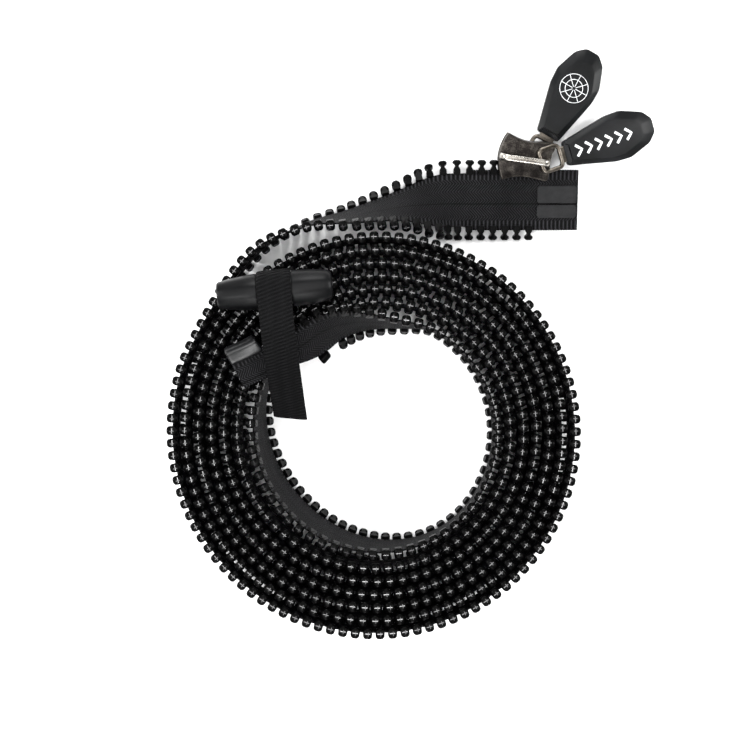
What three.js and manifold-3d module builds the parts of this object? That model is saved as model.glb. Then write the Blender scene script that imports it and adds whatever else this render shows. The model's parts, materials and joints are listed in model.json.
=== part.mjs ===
// A spare double-edged zipper: one woven tape with moulded teeth along both edges, wound on edge
// into a flat coil, with a two-sided slider and two pulls on the outer tail, and a toggle on a
// webbing strap over the inner end. Millimetres, +Z up. The origin ends up at the middle of the
// underside of the whole object. Until then the middle of the coil is (0, 0).
import * as THREE from 'three';
import { mergeVertices } from 'three/addons/utils/BufferGeometryUtils.js';
import Module from 'manifold-3d';

const wasm = await Module();
wasm.setup();

// ---- driving dimensions -------------------------------------------------------------------
const CLEARANCE = 0.3;          // gap between pieces that touch
const CHAIN_WIDTH = 30;         // tape with the teeth of both edges, tip to tip
const TAPE_THICKNESS = 0.9;
const TOOTH_PITCH = 4.5;
const TOOTH_LENGTH = 5.4;       // across the tape
const TOOTH_THICKNESS = 3.2;    // through the tape
const TOOTH_WIDTH = 2.7;        // along the tape
const CORD_DIAMETER = 1.5;      // cord in the edge of the tape, which the teeth grip

const COIL_INNER_RADIUS = 42.4;
const COIL_PITCH = 4.7;         // from one turn to the next
const COIL_TURNS = 6.8;
const COIL_START_ANGLE = 80;    // degrees, where the inner end leaves the coil
const COIL_STEP = 10;           // degrees between two sections of the band
const COIL_LEAN = 16;           // degrees, how far the inmost turn leans at its loosest place

const TAIL_START = 32;          // where the tail is straight and flat
const TAIL_END = 75.3;
const TAIL_TUCK = 3.06;         // how far the tail's near edge is inside the coil's outer circle
const PROP_ANGLE = 13;          // degrees, how far the slider props up the tail's outer edge
const TAIL_LIFT = 1.65;         // under the teeth of the tail's inner edge
const OUTER_TEETH = 7;
const INNER_TEETH = 6;

const SLIDER_AT = 54.9;         // along the tail
const SLIDER_LENGTH = 19.5;
const SLIDER_YAW = -8;          // degrees, a slider with one row in it lies askew
const SLIDER_PLATE = 1.6;
const SLIDER_LIP = 0.9;
const CHANNEL_FRONT = 8.0;      // half widths of the channel at front, waist and rear
const CHANNEL_WAIST = 6.7;
const CHANNEL_REAR = 6.3;
const BRIDGE_HEIGHT = 4.4;
const BRIDGE_BAR = 1.5;
const BRIDGE_WIDTH = 2.4;
const FRONT_BRIDGE_LENGTH = 19;
const BACK_BRIDGE_LENGTH = 11;
const BACK_BRIDGE_ALONG = 3.8;  // its middle, from the slider's
const BACK_BRIDGE_ACROSS = -2.0;
const BRIDGE_FOOT = 1.4;
const SLOPE_LENGTH = 5.5;       // rear slopes of the top plate

const LINK_BAR = 1.6;
const LINK_HALF_OPENING = 3.4;
const LINK_OPENING_END = 7.0;
const LINK_THICKNESS = 1.8;
const TANG_LENGTH = 5;
const TANG_HALF_WIDTH = 3;
const GRIP_START = 9.4;
const GRIP_LENGTH = 36;
const GRIP_HALF_WIDTH = 9;
const GRIP_THICKNESS = 4.6;
const GRIP_BEVEL = 1.3;
const GRIP_SHOULDER = 19;       // where it is widest
const FRONT_PULL_YAW = 17;
const FRONT_PULL_DROOP = 12;
const BACK_PULL_YAW = 61;
const BACK_PULL_DROOP = 11;

const TOGGLE_LENGTH = 41;
const TOGGLE_RADIUS = 6.5;
const TOGGLE_YAW = 5.7;
const STRAP_WIDTH = 12;
const STRAP_THICKNESS = 1.5;
const BOX_THICKNESS = 5.6;      // retainer box, through the tape
const PLATE_INSIDE = 3;         // retainer plate, from the band's middle line
const PLATE_THICKNESS = 1.6;
const STOP_WIDTH = 3.2;         // end stop, across the tape
const STOP_THICKNESS = 3.6;
const TRIMMED_EDGE = 0.5;       // what is left below the middle line at the cut inner end

const FILM_THICKNESS = 0.35;
const FILM_LENGTH = 14.6;
const FILM_MARGIN = 0.6;        // from the film to the cut end

const STRETCH_STEPS = 3;        // sections between two knots of a loose stretch

// ---- derived places -----------------------------------------------------------------------
const HALF = CHAIN_WIDTH / 2;
const LAST_TRAVEL = Math.floor(COIL_TURNS * 360 / COIL_STEP) * COIL_STEP;
const OUTER_RADIUS = COIL_INNER_RADIUS + COIL_PITCH * LAST_TRAVEL / 360;
const TAIL_LINE = OUTER_RADIUS + HALF - TAIL_TUCK;
const ROW_INSIDE = HALF - TOOTH_LENGTH;
const ROW_MIDDLE = HALF - TOOTH_LENGTH / 2;
const TAPE_HALF = ROW_INSIDE - CLEARANCE;
const CHANNEL_HEIGHT = TOOTH_THICKNESS + 0.8;
const SLIDER_HEIGHT = CHANNEL_HEIGHT + 2 * SLIDER_PLATE;
const SLIDER_OFFSET = HALF + 0.6;
const PIVOT_HEIGHT = SLIDER_HEIGHT / 2 + CLEARANCE + 0.3 + LINK_BAR / 2;
const rad = THREE.MathUtils.degToRad;
const prop = rad(PROP_ANGLE);
const TAIL_HEIGHT = TOOTH_THICKNESS / 2 + TAIL_LIFT + ROW_MIDDLE * Math.sin(prop);
const UP = new THREE.Vector3(0, 0, 1);

const COLOURS = {
  cloth: 0x1d1d1f, teeth: 0x0f0f11, film: 0x3a3b3d, metal: 0x4d4c4b, polished: 0x9b9a98,
  rubber: 0x303133, webbing: 0x2a2a2c, moulded: 0x343539,
};

const zipper = new THREE.Group();

/** Adds one named mesh with a material of its own. */
function addPiece(name, geometry, colour, roughness, metalness, parent = zipper) {
  const material = new THREE.MeshStandardMaterial({ color: colour, roughness, metalness });
  const mesh = new THREE.Mesh(geometry, material);
  mesh.name = name;
  parent.add(mesh);
  return mesh;
}

/** Turns a closed geometry into a solid that can be cut and joined. */
function toSolid(geometry) {
  const bare = geometry.clone();
  bare.deleteAttribute('normal');
  bare.deleteAttribute('uv');
  const merged = mergeVertices(bare, 1e-4);
  return new wasm.Manifold(new wasm.Mesh({
    numProp: 3,
    vertProperties: new Float32Array(merged.attributes.position.array),
    triVerts: new Uint32Array(merged.index.array),
  }));
}

/** Turns a solid back into a geometry. */
function toGeometry(solid) {
  const mesh = solid.getMesh();
  const geometry = new THREE.BufferGeometry();
  geometry.setAttribute('position', new THREE.BufferAttribute(mesh.vertProperties, 3));
  geometry.setIndex(new THREE.BufferAttribute(mesh.triVerts, 1));
  return geometry;
}

/** A flat outline given thickness, with its middle plane at z = middle. */
function slab(shape, thickness, middle = 0, curveSegments = 6) {
  const geometry = new THREE.ExtrudeGeometry(shape, {
    depth: thickness, bevelEnabled: false, curveSegments,
  });
  return geometry.translate(0, 0, middle - thickness / 2);
}

/** A shape through the given points with straight sides. */
function polygon(points) {
  return new THREE.Shape(points.map(([x, y]) => new THREE.Vector2(x, y)));
}

// ---- the path of the band -----------------------------------------------------------------
/** One place on the band: its middle, the direction from bottom to top edge, and its face. */
function place(middle, along, leanDegrees) {
  const lean = rad(leanDegrees);
  const flat = new THREE.Vector3(along.x, along.y, 0).normalize();
  const outward = new THREE.Vector3(-flat.y, flat.x, 0);
  const across = UP.clone().multiplyScalar(Math.cos(lean)).addScaledVector(outward, -Math.sin(lean));
  const face = new THREE.Vector3().crossVectors(flat, across).normalize().negate();
  return { middle, along: flat, across, face };
}

/** The middle of the band on the coil, after travelling some degrees clockwise from the start. */
function coilMiddle(travel) {
  const angle = rad(COIL_START_ANGLE - travel);
  const lean = coilLean(travel);
  const radius = COIL_INNER_RADIUS + COIL_PITCH * travel / 360 - HALF * Math.sin(rad(lean));
  const height = HALF * Math.cos(rad(lean)) + TOOTH_THICKNESS / 2 * Math.sin(rad(lean));
  return new THREE.Vector3(radius * Math.cos(angle), radius * Math.sin(angle), height);
}

/** The inmost turn stands loose, and leans most half way round. */
function coilLean(travel) {
  const loose = THREE.MathUtils.clamp((travel - 120) / 200, 0, 1);
  return COIL_LEAN * Math.sin(Math.PI * loose) ** 2;
}

/** Points of a stretch that is not coiled, sampled on one smooth curve: x, y, z and lean. */
function looseStretch(knots, perKnot) {
  const line = new THREE.CatmullRomCurve3(
    knots.map((knot) => new THREE.Vector3(knot[0], knot[1], knot[2])), false, 'catmullrom', 0.5);
  const leans = new THREE.CatmullRomCurve3(
    knots.map((knot) => new THREE.Vector3(knot[3], 0, 0)), false, 'catmullrom', 0.5);
  const count = (knots.length - 1) * perKnot;
  return Array.from({ length: count + 1 }, (_, i) => ({
    middle: line.getPoint(i / count),
    along: line.getTangent(i / count),
    lean: leans.getPoint(i / count).x,
    knot: i / perKnot,
  }));
}

function coilKnot(travel) {
  const middle = coilMiddle(travel);
  return [middle.x, middle.y, middle.z, -coilLean(travel)];
}

const FLAT_LEAN = 90 + PROP_ANGLE;

/** A knot given round the coil: degrees, distance from a radius, height in half widths, lean. */
function roundKnot(radius, [degrees, off, halves, lean]) {
  const reach = radius + off;
  return [reach * Math.cos(rad(degrees)), reach * Math.sin(rad(degrees)), HALF * halves, lean];
}

/** A knot of the inner end, whose distance is that of the leaning band at the coil's top edge. */
function innerKnot([degrees, off, halves, lean]) {
  const back = (CHAIN_WIDTH - HALF * halves) * Math.tan(rad(-lean));
  return roundKnot(COIL_INNER_RADIUS - back, [degrees, off, halves, lean]);
}

/** A knot given from the start of the flat tail: along, across, lift from the table, lean. */
function tailKnot([along, across, lift, lean]) {
  const rise = HALF * Math.abs(Math.cos(rad(lean))) + TOOTH_THICKNESS / 2 * Math.sin(rad(lean));
  return [TAIL_START + along, TAIL_LINE + across, rise + lift, lean];
}

// The inner end climbs out of the eye and leans back over the inmost turns.
const innerKnots = [
  ...[
    [161.06, 3.19, 2.133, -68], [151.81, -1.84, 2.12, -64], [135.2, -2.06, 2.013, -51],
    [116.94, 1.22, 1.747, -34], [104.79, 2.0, 1.427, -23], [92.86, 0.79, 1.187, -14],
    [79.78, -0.6, 1.04, -7],
  ].map(innerKnot),
  coilKnot(20), coilKnot(40),
];
// The outer tail leaves the coil, rolls over on to its face and runs out straight.
const tailKnots = [
  coilKnot(LAST_TRAVEL - 20), coilKnot(LAST_TRAVEL),
  ...[[127.36, 4.51, 1.02, 0], [110.04, 6.0, 1.027, 8], [97.2, 5.57, 1.0, 20]]
    .map((knot) => roundKnot(OUTER_RADIUS, knot)),
  ...[[-24, -3, 0.19, 38], [-14, -1.3, 1.15, 62], [-7, -0.3, 3.74, 84]].map(tailKnot),
  [TAIL_START, TAIL_LINE, TAIL_HEIGHT, FLAT_LEAN],
  [TAIL_START + 8, TAIL_LINE, TAIL_HEIGHT, FLAT_LEAN],
];

const innerPlaces = looseStretch(innerKnots, STRETCH_STEPS).slice(0, -STRETCH_STEPS);
const tailPlaces = looseStretch(tailKnots, STRETCH_STEPS).slice(STRETCH_STEPS, -STRETCH_STEPS);
const coilPlaces = [];
for (let travel = 30; travel < LAST_TRAVEL; travel += COIL_STEP) {
  const middle = coilMiddle(travel);
  const along = coilMiddle(travel + 1).sub(coilMiddle(travel - 1));
  coilPlaces.push({ middle, along, lean: -coilLean(travel), knot: Infinity });
}
tailPlaces.forEach((item) => { item.knot += 100; });
const straightAlong = new THREE.Vector3(1, 0, 0);
const straightPlaces = [TAIL_START + 1, TAIL_END].map((x) => ({
  middle: new THREE.Vector3(x, TAIL_LINE, TAIL_HEIGHT), along: straightAlong, lean: FLAT_LEAN, knot: 200,
}));
const bandPlaces = [...innerPlaces, ...coilPlaces, ...tailPlaces, ...straightPlaces];

/** Sweeps a convex section along places of the band. */
function sweep(places, sectionOf) {
  const positions = [];
  const indices = [];
  let sides = 0;
  places.forEach((item) => {
    const { middle, across, face } = place(item.middle, item.along, item.lean);
    const section = sectionOf(item);
    sides = section.length;
    section.forEach(([a, f]) => {
      const point = middle.clone().addScaledVector(across, a).addScaledVector(face, f);
      positions.push(point.x, point.y, point.z);
    });
  });
  for (let i = 0; i + 1 < places.length; i += 1) {
    for (let k = 0; k < sides; k += 1) {
      const a = i * sides + k;
      const b = i * sides + (k + 1) % sides;
      indices.push(a, b, b + sides, a, b + sides, a + sides);
    }
  }
  const last = (places.length - 1) * sides;
  for (let k = 1; k + 1 < sides; k += 1) {
    indices.push(0, k + 1, k);
    indices.push(last, last + k, last + k + 1);
  }
  const geometry = new THREE.BufferGeometry();
  geometry.setAttribute('position', new THREE.Float32BufferAttribute(positions, 3));
  geometry.setIndex(indices);
  return geometry;
}

/** A rectangle across the band from low to high, and from one face offset to the other. */
function rectangle(low, high, back, front) {
  return [[low, back], [low, front], [high, front], [high, back]];
}

// The inner end is cut back to the half that carries the retainer box.
const TRIM_KNOT = 3;
const BOX_KNOT = 4 / 3;
const STOP_KNOT = 8 / 3;
function lowEdge(item) {
  const full = THREE.MathUtils.smoothstep(item.knot, 1, TRIM_KNOT);
  return -THREE.MathUtils.lerp(TRIMMED_EDGE, TAPE_HALF, full);
}

function buildTape() {
  const half = TAPE_THICKNESS / 2;
  const geometry = sweep(bandPlaces, (item) => rectangle(lowEdge(item), TAPE_HALF, -half, half));
  addPiece('tape', geometry, COLOURS.cloth, 0.9, 0);
}

/** The rows of teeth round the coil, as one plain strip on each edge of the tape. */
function buildToothStrips() {
  const half = TOOTH_THICKNESS / 2;
  const stripPlaces = bandPlaces.slice(0, -1);
  const top = stripPlaces.filter((item) => item.knot > BOX_KNOT + 0.1);
  const bottom = stripPlaces.filter((item) => item.knot > TRIM_KNOT - 0.1);
  addPiece('tooth_row_top', sweep(top, () => rectangle(ROW_INSIDE, HALF, -half, half)),
    COLOURS.teeth, 0.3, 0);
  addPiece('tooth_row_bottom', sweep(bottom, () => rectangle(-HALF, -ROW_INSIDE, -half, half)),
    COLOURS.teeth, 0.3, 0);
}

/** A group laid in the plane of the flat tail: x along it, y outward across it, z its face. */
function tailGroup(x, offset, yaw = 0) {
  const group = new THREE.Group();
  group.position.set(x, TAIL_LINE + offset * Math.cos(prop), TAIL_HEIGHT + offset * Math.sin(prop));
  group.rotation.set(prop, 0, rad(yaw), 'XYZ');
  return group;
}

/** One tooth: a rounded head, and two legs that grip the corded edge of the tape. */
function toothGeometry(side) {
  const half = TOOTH_THICKNESS / 2;
  const slotEnd = ROW_INSIDE + CLEARANCE + CORD_DIAMETER + CLEARANCE;
  const slot = CORD_DIAMETER / 2 + CLEARANCE;
  const outline = polygon([
    [ROW_INSIDE, slot], [slotEnd, slot], [slotEnd, -slot], [ROW_INSIDE, -slot],
    [ROW_INSIDE, -half], [HALF - 1.2, -half], [HALF - 0.3, -half * 0.65], [HALF, 0],
    [HALF - 0.3, half * 0.65], [HALF - 1.2, half], [ROW_INSIDE, half],
  ]);
  const geometry = slab(outline, TOOTH_WIDTH);
  geometry.rotateX(Math.PI / 2);
  geometry.rotateZ(Math.PI / 2);
  if (side < 0) geometry.rotateZ(Math.PI);
  return geometry;
}

function buildTailTeeth() {
  const first = TAIL_START + 1 + CLEARANCE + TOOTH_WIDTH / 2;
  const rows = [['outer_tooth', 1, OUTER_TEETH], ['inner_tooth', -1, INNER_TEETH]];
  rows.forEach(([name, side, count]) => {
    for (let i = 0; i < count; i += 1) {
      const group = tailGroup(first + i * TOOTH_PITCH, 0);
      zipper.add(group);
      addPiece(`${name}_${i + 1}`, toothGeometry(side), COLOURS.teeth, 0.3, 0, group);
    }
  });
}

/** The cord that thickens each edge of the tape, where it shows on the tail. */
function buildEdgeCords() {
  const start = TAIL_START + 1 + CLEARANCE;
  const length = TAIL_END - start;
  [['edge_cord_outer', 1], ['edge_cord_inner', -1]].forEach(([name, side]) => {
    const group = tailGroup(start + length / 2, side * (ROW_INSIDE + CLEARANCE + CORD_DIAMETER / 2));
    zipper.add(group);
    const geometry = new THREE.CylinderGeometry(CORD_DIAMETER / 2, CORD_DIAMETER / 2, length, 8);
    addPiece(name, geometry.rotateZ(Math.PI / 2), COLOURS.cloth, 0.9, 0, group);
  });
}

/** Film that stiffens the cut end of the tape: two strips on its face and one behind. */
function buildTailFilm() {
  const level = TAPE_THICKNESS / 2 + CLEARANCE + FILM_THICKNESS / 2;
  const strips = [
    ['film_face_outer', 2.2, 6.6, level], ['film_face_inner', -4.2, 5.0, level],
    ['film_behind', -0.6, 12.6, -level],
  ];
  strips.forEach(([name, offset, width, height]) => {
    const group = tailGroup(TAIL_END - FILM_MARGIN - FILM_LENGTH / 2, offset);
    zipper.add(group);
    const geometry = new THREE.BoxGeometry(FILM_LENGTH, width, FILM_THICKNESS);
    addPiece(name, geometry.translate(0, 0, height), COLOURS.film, 0.35, 0, group);
  });
}

/** What is moulded on the inner end: a retainer box on the top edge, a stop on the bottom one. */
function buildInnerEnd() {
  const half = BOX_THICKNESS / 2;
  const boxPlaces = innerPlaces.filter((item) => item.knot < BOX_KNOT + 0.01);
  const box = sweep(boxPlaces, () => rectangle(TAPE_HALF + CLEARANCE, HALF + 0.8, -half, half));
  addPiece('retainer_box', box, COLOURS.moulded, 0.25, 0);
  const level = TAPE_THICKNESS / 2 + CLEARANCE;
  const plateSection = rectangle(PLATE_INSIDE, TAPE_HALF, level, level + PLATE_THICKNESS);
  addPiece('retainer_plate', sweep(boxPlaces, () => plateSection), COLOURS.moulded, 0.3, 0);
  const filmSection = rectangle(-0.3, PLATE_INSIDE - CLEARANCE, level, level + FILM_THICKNESS);
  addPiece('film_inner_end', sweep(boxPlaces, () => filmSection), COLOURS.film, 0.35, 0);
  const stopPlaces = innerPlaces.filter(
    (item) => item.knot > STOP_KNOT - 0.4 && item.knot < TRIM_KNOT - 0.2);
  const stop = sweep(stopPlaces, (item) => {
    const edge = lowEdge(item) - CLEARANCE;
    return rectangle(edge - STOP_WIDTH, edge, -STOP_THICKNESS / 2, STOP_THICKNESS / 2);
  });
  addPiece('end_stop', stop, COLOURS.teeth, 0.2, 0);
}

// ---- the slider ---------------------------------------------------------------------------
const sliderGroup = tailGroup(SLIDER_AT, SLIDER_OFFSET, SLIDER_YAW);
zipper.add(sliderGroup);

/** The slider's outline: a convex front, a waist, and a straight rear with small corners. */
function sliderOutline() {
  const front = -SLIDER_LENGTH / 2;
  const rear = SLIDER_LENGTH / 2;
  const frontHalf = CHANNEL_FRONT + SLIDER_LIP;
  const waistHalf = CHANNEL_WAIST + SLIDER_LIP;
  const rearHalf = CHANNEL_REAR + SLIDER_LIP;
  const shape = new THREE.Shape();
  shape.moveTo(front + 1.2, -frontHalf);
  shape.quadraticCurveTo(front + 4, -waistHalf - 0.4, 0.5, -waistHalf);
  shape.lineTo(rear - 1.5, -rearHalf);
  shape.quadraticCurveTo(rear, -rearHalf, rear, -rearHalf + 1.8);
  shape.lineTo(rear, rearHalf - 1.8);
  shape.quadraticCurveTo(rear, rearHalf, rear - 1.5, rearHalf);
  shape.lineTo(0.5, waistHalf);
  shape.quadraticCurveTo(front + 4, waistHalf + 0.4, front + 1.2, frontHalf);
  shape.quadraticCurveTo(front - 1.2, 0, front + 1.2, -frontHalf);
  return shape;
}

/** Two plates with turned-in lips, held apart by one post between the two mouths. */
function buildSliderBody() {
  const beyond = SLIDER_LENGTH / 2 + 3;
  const front = -SLIDER_LENGTH / 2;
  const channel = polygon([
    [-beyond, -CHANNEL_FRONT], [front + 2.5, -CHANNEL_FRONT + 0.2], [0.5, -CHANNEL_WAIST],
    [beyond, -CHANNEL_REAR], [beyond, CHANNEL_REAR], [0.5, CHANNEL_WAIST],
    [front + 2.5, CHANNEL_FRONT - 0.2], [-beyond, CHANNEL_FRONT],
  ]);
  const post = polygon([[front + 0.6, -1.2], [front + 8, -0.35], [front + 8, 0.35], [front + 0.6, 1.2]]);
  const slotHeight = TAPE_THICKNESS + 1.0;
  const rear = SLIDER_LENGTH / 2;
  const slope = polygon([
    [rear - SLOPE_LENGTH, SLIDER_HEIGHT / 2 + 0.6], [rear + 1, SLIDER_HEIGHT / 2 - 1.6],
    [rear + 1, SLIDER_HEIGHT / 2 + 2], [rear - SLOPE_LENGTH, SLIDER_HEIGHT / 2 + 2],
  ]);
  const slopeCut = (side) => toSolid(slab(slope, 10).rotateX(Math.PI / 2).translate(0, side * 6.8, 0));
  const body = toSolid(slab(sliderOutline(), SLIDER_HEIGHT))
    .subtract(toSolid(slab(channel, CHANNEL_HEIGHT)))
    .subtract(toSolid(new THREE.BoxGeometry(2 * beyond, 2 * beyond, slotHeight)))
    .subtract(slopeCut(1))
    .subtract(slopeCut(-1))
    .add(toSolid(slab(post, CHANNEL_HEIGHT + 0.6)));
  addPiece('slider_body', toGeometry(body), COLOURS.metal, 0.35, 1, sliderGroup);
}

/** A raised bar on two feet. The pull's crossbar turns underneath it. */
function bridgeGeometry(length) {
  const half = length / 2;
  const inner = half - BRIDGE_FOOT;
  const outline = polygon([
    [-half, 0], [-inner, 0], [-inner + 0.5, BRIDGE_HEIGHT - BRIDGE_BAR],
    [inner - 0.5, BRIDGE_HEIGHT - BRIDGE_BAR], [inner, 0], [half, 0], [half - 0.6, BRIDGE_HEIGHT - 0.7],
    [half - 1.8, BRIDGE_HEIGHT], [-half + 1.8, BRIDGE_HEIGHT], [-half + 0.6, BRIDGE_HEIGHT - 0.7],
  ]);
  return slab(outline, BRIDGE_WIDTH).rotateX(Math.PI / 2);
}

/** The pull's metal link: a ring with a crossbar at x = 0, and a tang that enters the grip. */
function linkGeometry() {
  const half = LINK_HALF_OPENING + LINK_BAR;
  const end = LINK_OPENING_END + LINK_BAR;
  const ring = polygon([
    [-LINK_BAR / 2, -half + 0.8], [0.4, -half], [end - 1, -half], [end, -half + 1.2],
    [end, half - 1.2], [end - 1, half], [0.4, half], [-LINK_BAR / 2, half - 0.8],
  ]);
  const hole = polygon([
    [LINK_BAR / 2, -LINK_HALF_OPENING], [LINK_OPENING_END - 1, -LINK_HALF_OPENING],
    [LINK_OPENING_END, -LINK_HALF_OPENING + 1], [LINK_OPENING_END, LINK_HALF_OPENING - 1],
    [LINK_OPENING_END - 1, LINK_HALF_OPENING], [LINK_BAR / 2, LINK_HALF_OPENING],
  ]);
  const tang = polygon([
    [end - 0.5, -TANG_HALF_WIDTH], [GRIP_START + TANG_LENGTH, -TANG_HALF_WIDTH],
    [GRIP_START + TANG_LENGTH, TANG_HALF_WIDTH], [end - 0.5, TANG_HALF_WIDTH],
  ]);
  return toGeometry(toSolid(slab(ring, LINK_THICKNESS))
    .subtract(toSolid(slab(hole, LINK_THICKNESS + 1)))
    .add(toSolid(slab(tang, LINK_THICKNESS))));
}

/** The moulded grip: a long bevelled plate that narrows to both ends, hollow round the tang. */
function gripGeometry() {
  const length = GRIP_LENGTH - GRIP_BEVEL;
  const half = GRIP_HALF_WIDTH - GRIP_BEVEL;
  const outline = polygon([
    [GRIP_BEVEL, -3.9], [GRIP_SHOULDER, -half], [length - 6, -half + 0.8], [length, -2.6],
    [length, 2.6], [length - 6, half - 0.8], [GRIP_SHOULDER, half], [GRIP_BEVEL, 3.9],
  ]);
  const core = GRIP_THICKNESS - 2 * GRIP_BEVEL;
  const plate = new THREE.ExtrudeGeometry(outline, {
    depth: core, bevelEnabled: true, bevelThickness: GRIP_BEVEL, bevelSize: GRIP_BEVEL, bevelSegments: 2,
  });
  plate.translate(GRIP_START, 0, -core / 2);
  const pocketEnd = GRIP_START + TANG_LENGTH + CLEARANCE;
  const pocketHalf = TANG_HALF_WIDTH + CLEARANCE;
  const pocket = polygon([
    [GRIP_START - 2, -pocketHalf], [pocketEnd, -pocketHalf], [pocketEnd, pocketHalf],
    [GRIP_START - 2, pocketHalf],
  ]);
  return toGeometry(toSolid(plate)
    .subtract(toSolid(slab(pocket, LINK_THICKNESS + 2 * CLEARANCE))));
}

/** One pull: a link and its grip, with the hinge line along the group's own y axis. */
function buildPull(name, pivot, yaw, droop) {
  const group = new THREE.Group();
  group.position.copy(pivot);
  group.rotation.set(0, rad(droop), rad(yaw - SLIDER_YAW), 'ZYX');
  sliderGroup.add(group);
  addPiece(`pull_link_${name}`, linkGeometry(), COLOURS.metal, 0.3, 1, group);
  addPiece(`pull_grip_${name}`, gripGeometry(), COLOURS.rubber, 0.6, 0, group);
}

function buildPulls() {
  const frontPivotAlong = FRONT_BRIDGE_LENGTH / 2 - 2 * BRIDGE_FOOT - LINK_BAR / 2;
  const foot = SLIDER_HEIGHT / 2 + CLEARANCE;
  const frontBridge = addPiece('bridge_front', bridgeGeometry(FRONT_BRIDGE_LENGTH),
    COLOURS.polished, 0.2, 1, sliderGroup);
  frontBridge.position.z = foot;
  const backBridge = addPiece('bridge_back', bridgeGeometry(BACK_BRIDGE_LENGTH),
    COLOURS.polished, 0.2, 1, sliderGroup);
  backBridge.rotation.set(Math.PI, 0, rad(BACK_PULL_YAW - SLIDER_YAW), 'ZXY');
  backBridge.position.set(BACK_BRIDGE_ALONG, BACK_BRIDGE_ACROSS, -foot);
  const backAlong = rad(BACK_PULL_YAW - SLIDER_YAW);
  const backReach = BACK_BRIDGE_LENGTH / 2 - BRIDGE_FOOT - 0.9 - LINK_BAR / 2;
  const front = new THREE.Vector3(frontPivotAlong, 0, PIVOT_HEIGHT);
  const back = new THREE.Vector3(
    BACK_BRIDGE_ALONG + backReach * Math.cos(backAlong),
    BACK_BRIDGE_ACROSS + backReach * Math.sin(backAlong), -PIVOT_HEIGHT);
  buildPull('front', front, FRONT_PULL_YAW, FRONT_PULL_DROOP);
  buildPull('back', back, BACK_PULL_YAW, BACK_PULL_DROOP);
}

// ---- the toggle and its strap -------------------------------------------------------------
const GROOVE_RADIUS = TOGGLE_RADIUS - 1.0;
const LOOP_RADIUS = GROOVE_RADIUS + CLEARANCE;
const TOGGLE_HEIGHT = CHAIN_WIDTH + CLEARANCE + LOOP_RADIUS + STRAP_THICKNESS;
const TOGGLE_AROUND = rad(125.54);
const TOGGLE_OUT = 5;           // from the top edge of the inner end at its steepest
const toggleReach = COIL_INNER_RADIUS + HALF + TOGGLE_OUT;
const toggleMiddle = new THREE.Vector3(
  toggleReach * Math.cos(TOGGLE_AROUND), toggleReach * Math.sin(TOGGLE_AROUND), TOGGLE_HEIGHT);

/** A barrel that tapers to both ends, turned down at its waist where the strap goes round. */
function buildToggle() {
  const half = TOGGLE_LENGTH / 2;
  const grooveHalf = STRAP_WIDTH / 2 + CLEARANCE;
  const profile = [
    [0, -half], [4.3, -half], [4.7, -half + 0.4], [TOGGLE_RADIUS - 0.3, -grooveHalf - 3],
    [TOGGLE_RADIUS, -grooveHalf], [GROOVE_RADIUS, -grooveHalf], [GROOVE_RADIUS, grooveHalf],
    [TOGGLE_RADIUS, grooveHalf], [TOGGLE_RADIUS - 0.3, half - 7], [5.2, half - 1.5], [4.2, half - 0.3],
    [0, half],
  ].map(([radius, along]) => new THREE.Vector2(radius, along));
  const barrel = new THREE.LatheGeometry(profile, 24);
  barrel.rotateZ(-Math.PI / 2);
  const group = new THREE.Group();
  group.position.copy(toggleMiddle);
  group.rotation.z = rad(TOGGLE_YAW);
  zipper.add(group);
  addPiece('toggle_barrel', toGeometry(toSolid(barrel)), COLOURS.moulded, 0.35, 0, group);
}

/** The strap: round the toggle's waist, over the inner end of the tape and down into the eye. */
function buildStrap() {
  const radius = LOOP_RADIUS + STRAP_THICKNESS / 2;
  const centreLine = [];
  for (let turn = -150; turn <= 85; turn += 19.5) {
    centreLine.push(new THREE.Vector2(radius * Math.cos(rad(turn)), radius * Math.sin(rad(turn))));
  }
  // The drop is given from the middle of the eye's edge, so it follows the coil's width.
  const drop = [[9, 7.4], [3, 5.6], [-5, 0.8], [-12, -5.5], [-20, -13], [-26, -19]];
  const eyeEdge = -TOGGLE_OUT - HALF;
  drop.forEach(([y, z]) => centreLine.push(new THREE.Vector2(eyeEdge + y, z)));
  const half = STRAP_THICKNESS / 2;
  const left = [];
  const right = [];
  centreLine.forEach((point, i) => {
    const before = centreLine[Math.max(i - 1, 0)];
    const after = centreLine[Math.min(i + 1, centreLine.length - 1)];
    const normal = after.clone().sub(before).normalize().rotateAround(new THREE.Vector2(), Math.PI / 2);
    left.push(point.clone().addScaledVector(normal, half));
    right.push(point.clone().addScaledVector(normal, -half));
  });
  const outline = new THREE.Shape([...left, ...right.reverse()]);
  const strap = slab(outline, STRAP_WIDTH);
  strap.rotateX(Math.PI / 2);
  strap.rotateZ(Math.PI / 2);
  const group = new THREE.Group();
  group.position.copy(toggleMiddle);
  group.rotation.z = rad(TOGGLE_YAW);
  zipper.add(group);
  addPiece('webbing_strap', strap, COLOURS.webbing, 0.85, 0, group);
}

buildTape();
buildToothStrips();
buildTailTeeth();
buildEdgeCords();
buildTailFilm();
buildInnerEnd();
buildSliderBody();
buildPulls();
buildToggle();
buildStrap();

// The origin goes to the middle of the underside.
zipper.updateMatrixWorld(true);
const bounds = new THREE.Box3().setFromObject(zipper, true);
const middle = bounds.getCenter(new THREE.Vector3());
zipper.position.set(-middle.x, -middle.y, -bounds.min.z);

export default zipper;
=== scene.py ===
"""A spare double-edged zipper: tape, teeth, slider, pulls, toggle and strap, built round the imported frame.

Every sub-assembly is a class that holds its sizes in millimetres. Shapes are worked out as whole
numpy arrays in millimetres and turned to metres when they become a mesh.
"""

import json
import logging
import math
from dataclasses import dataclass
from enum import Enum

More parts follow.
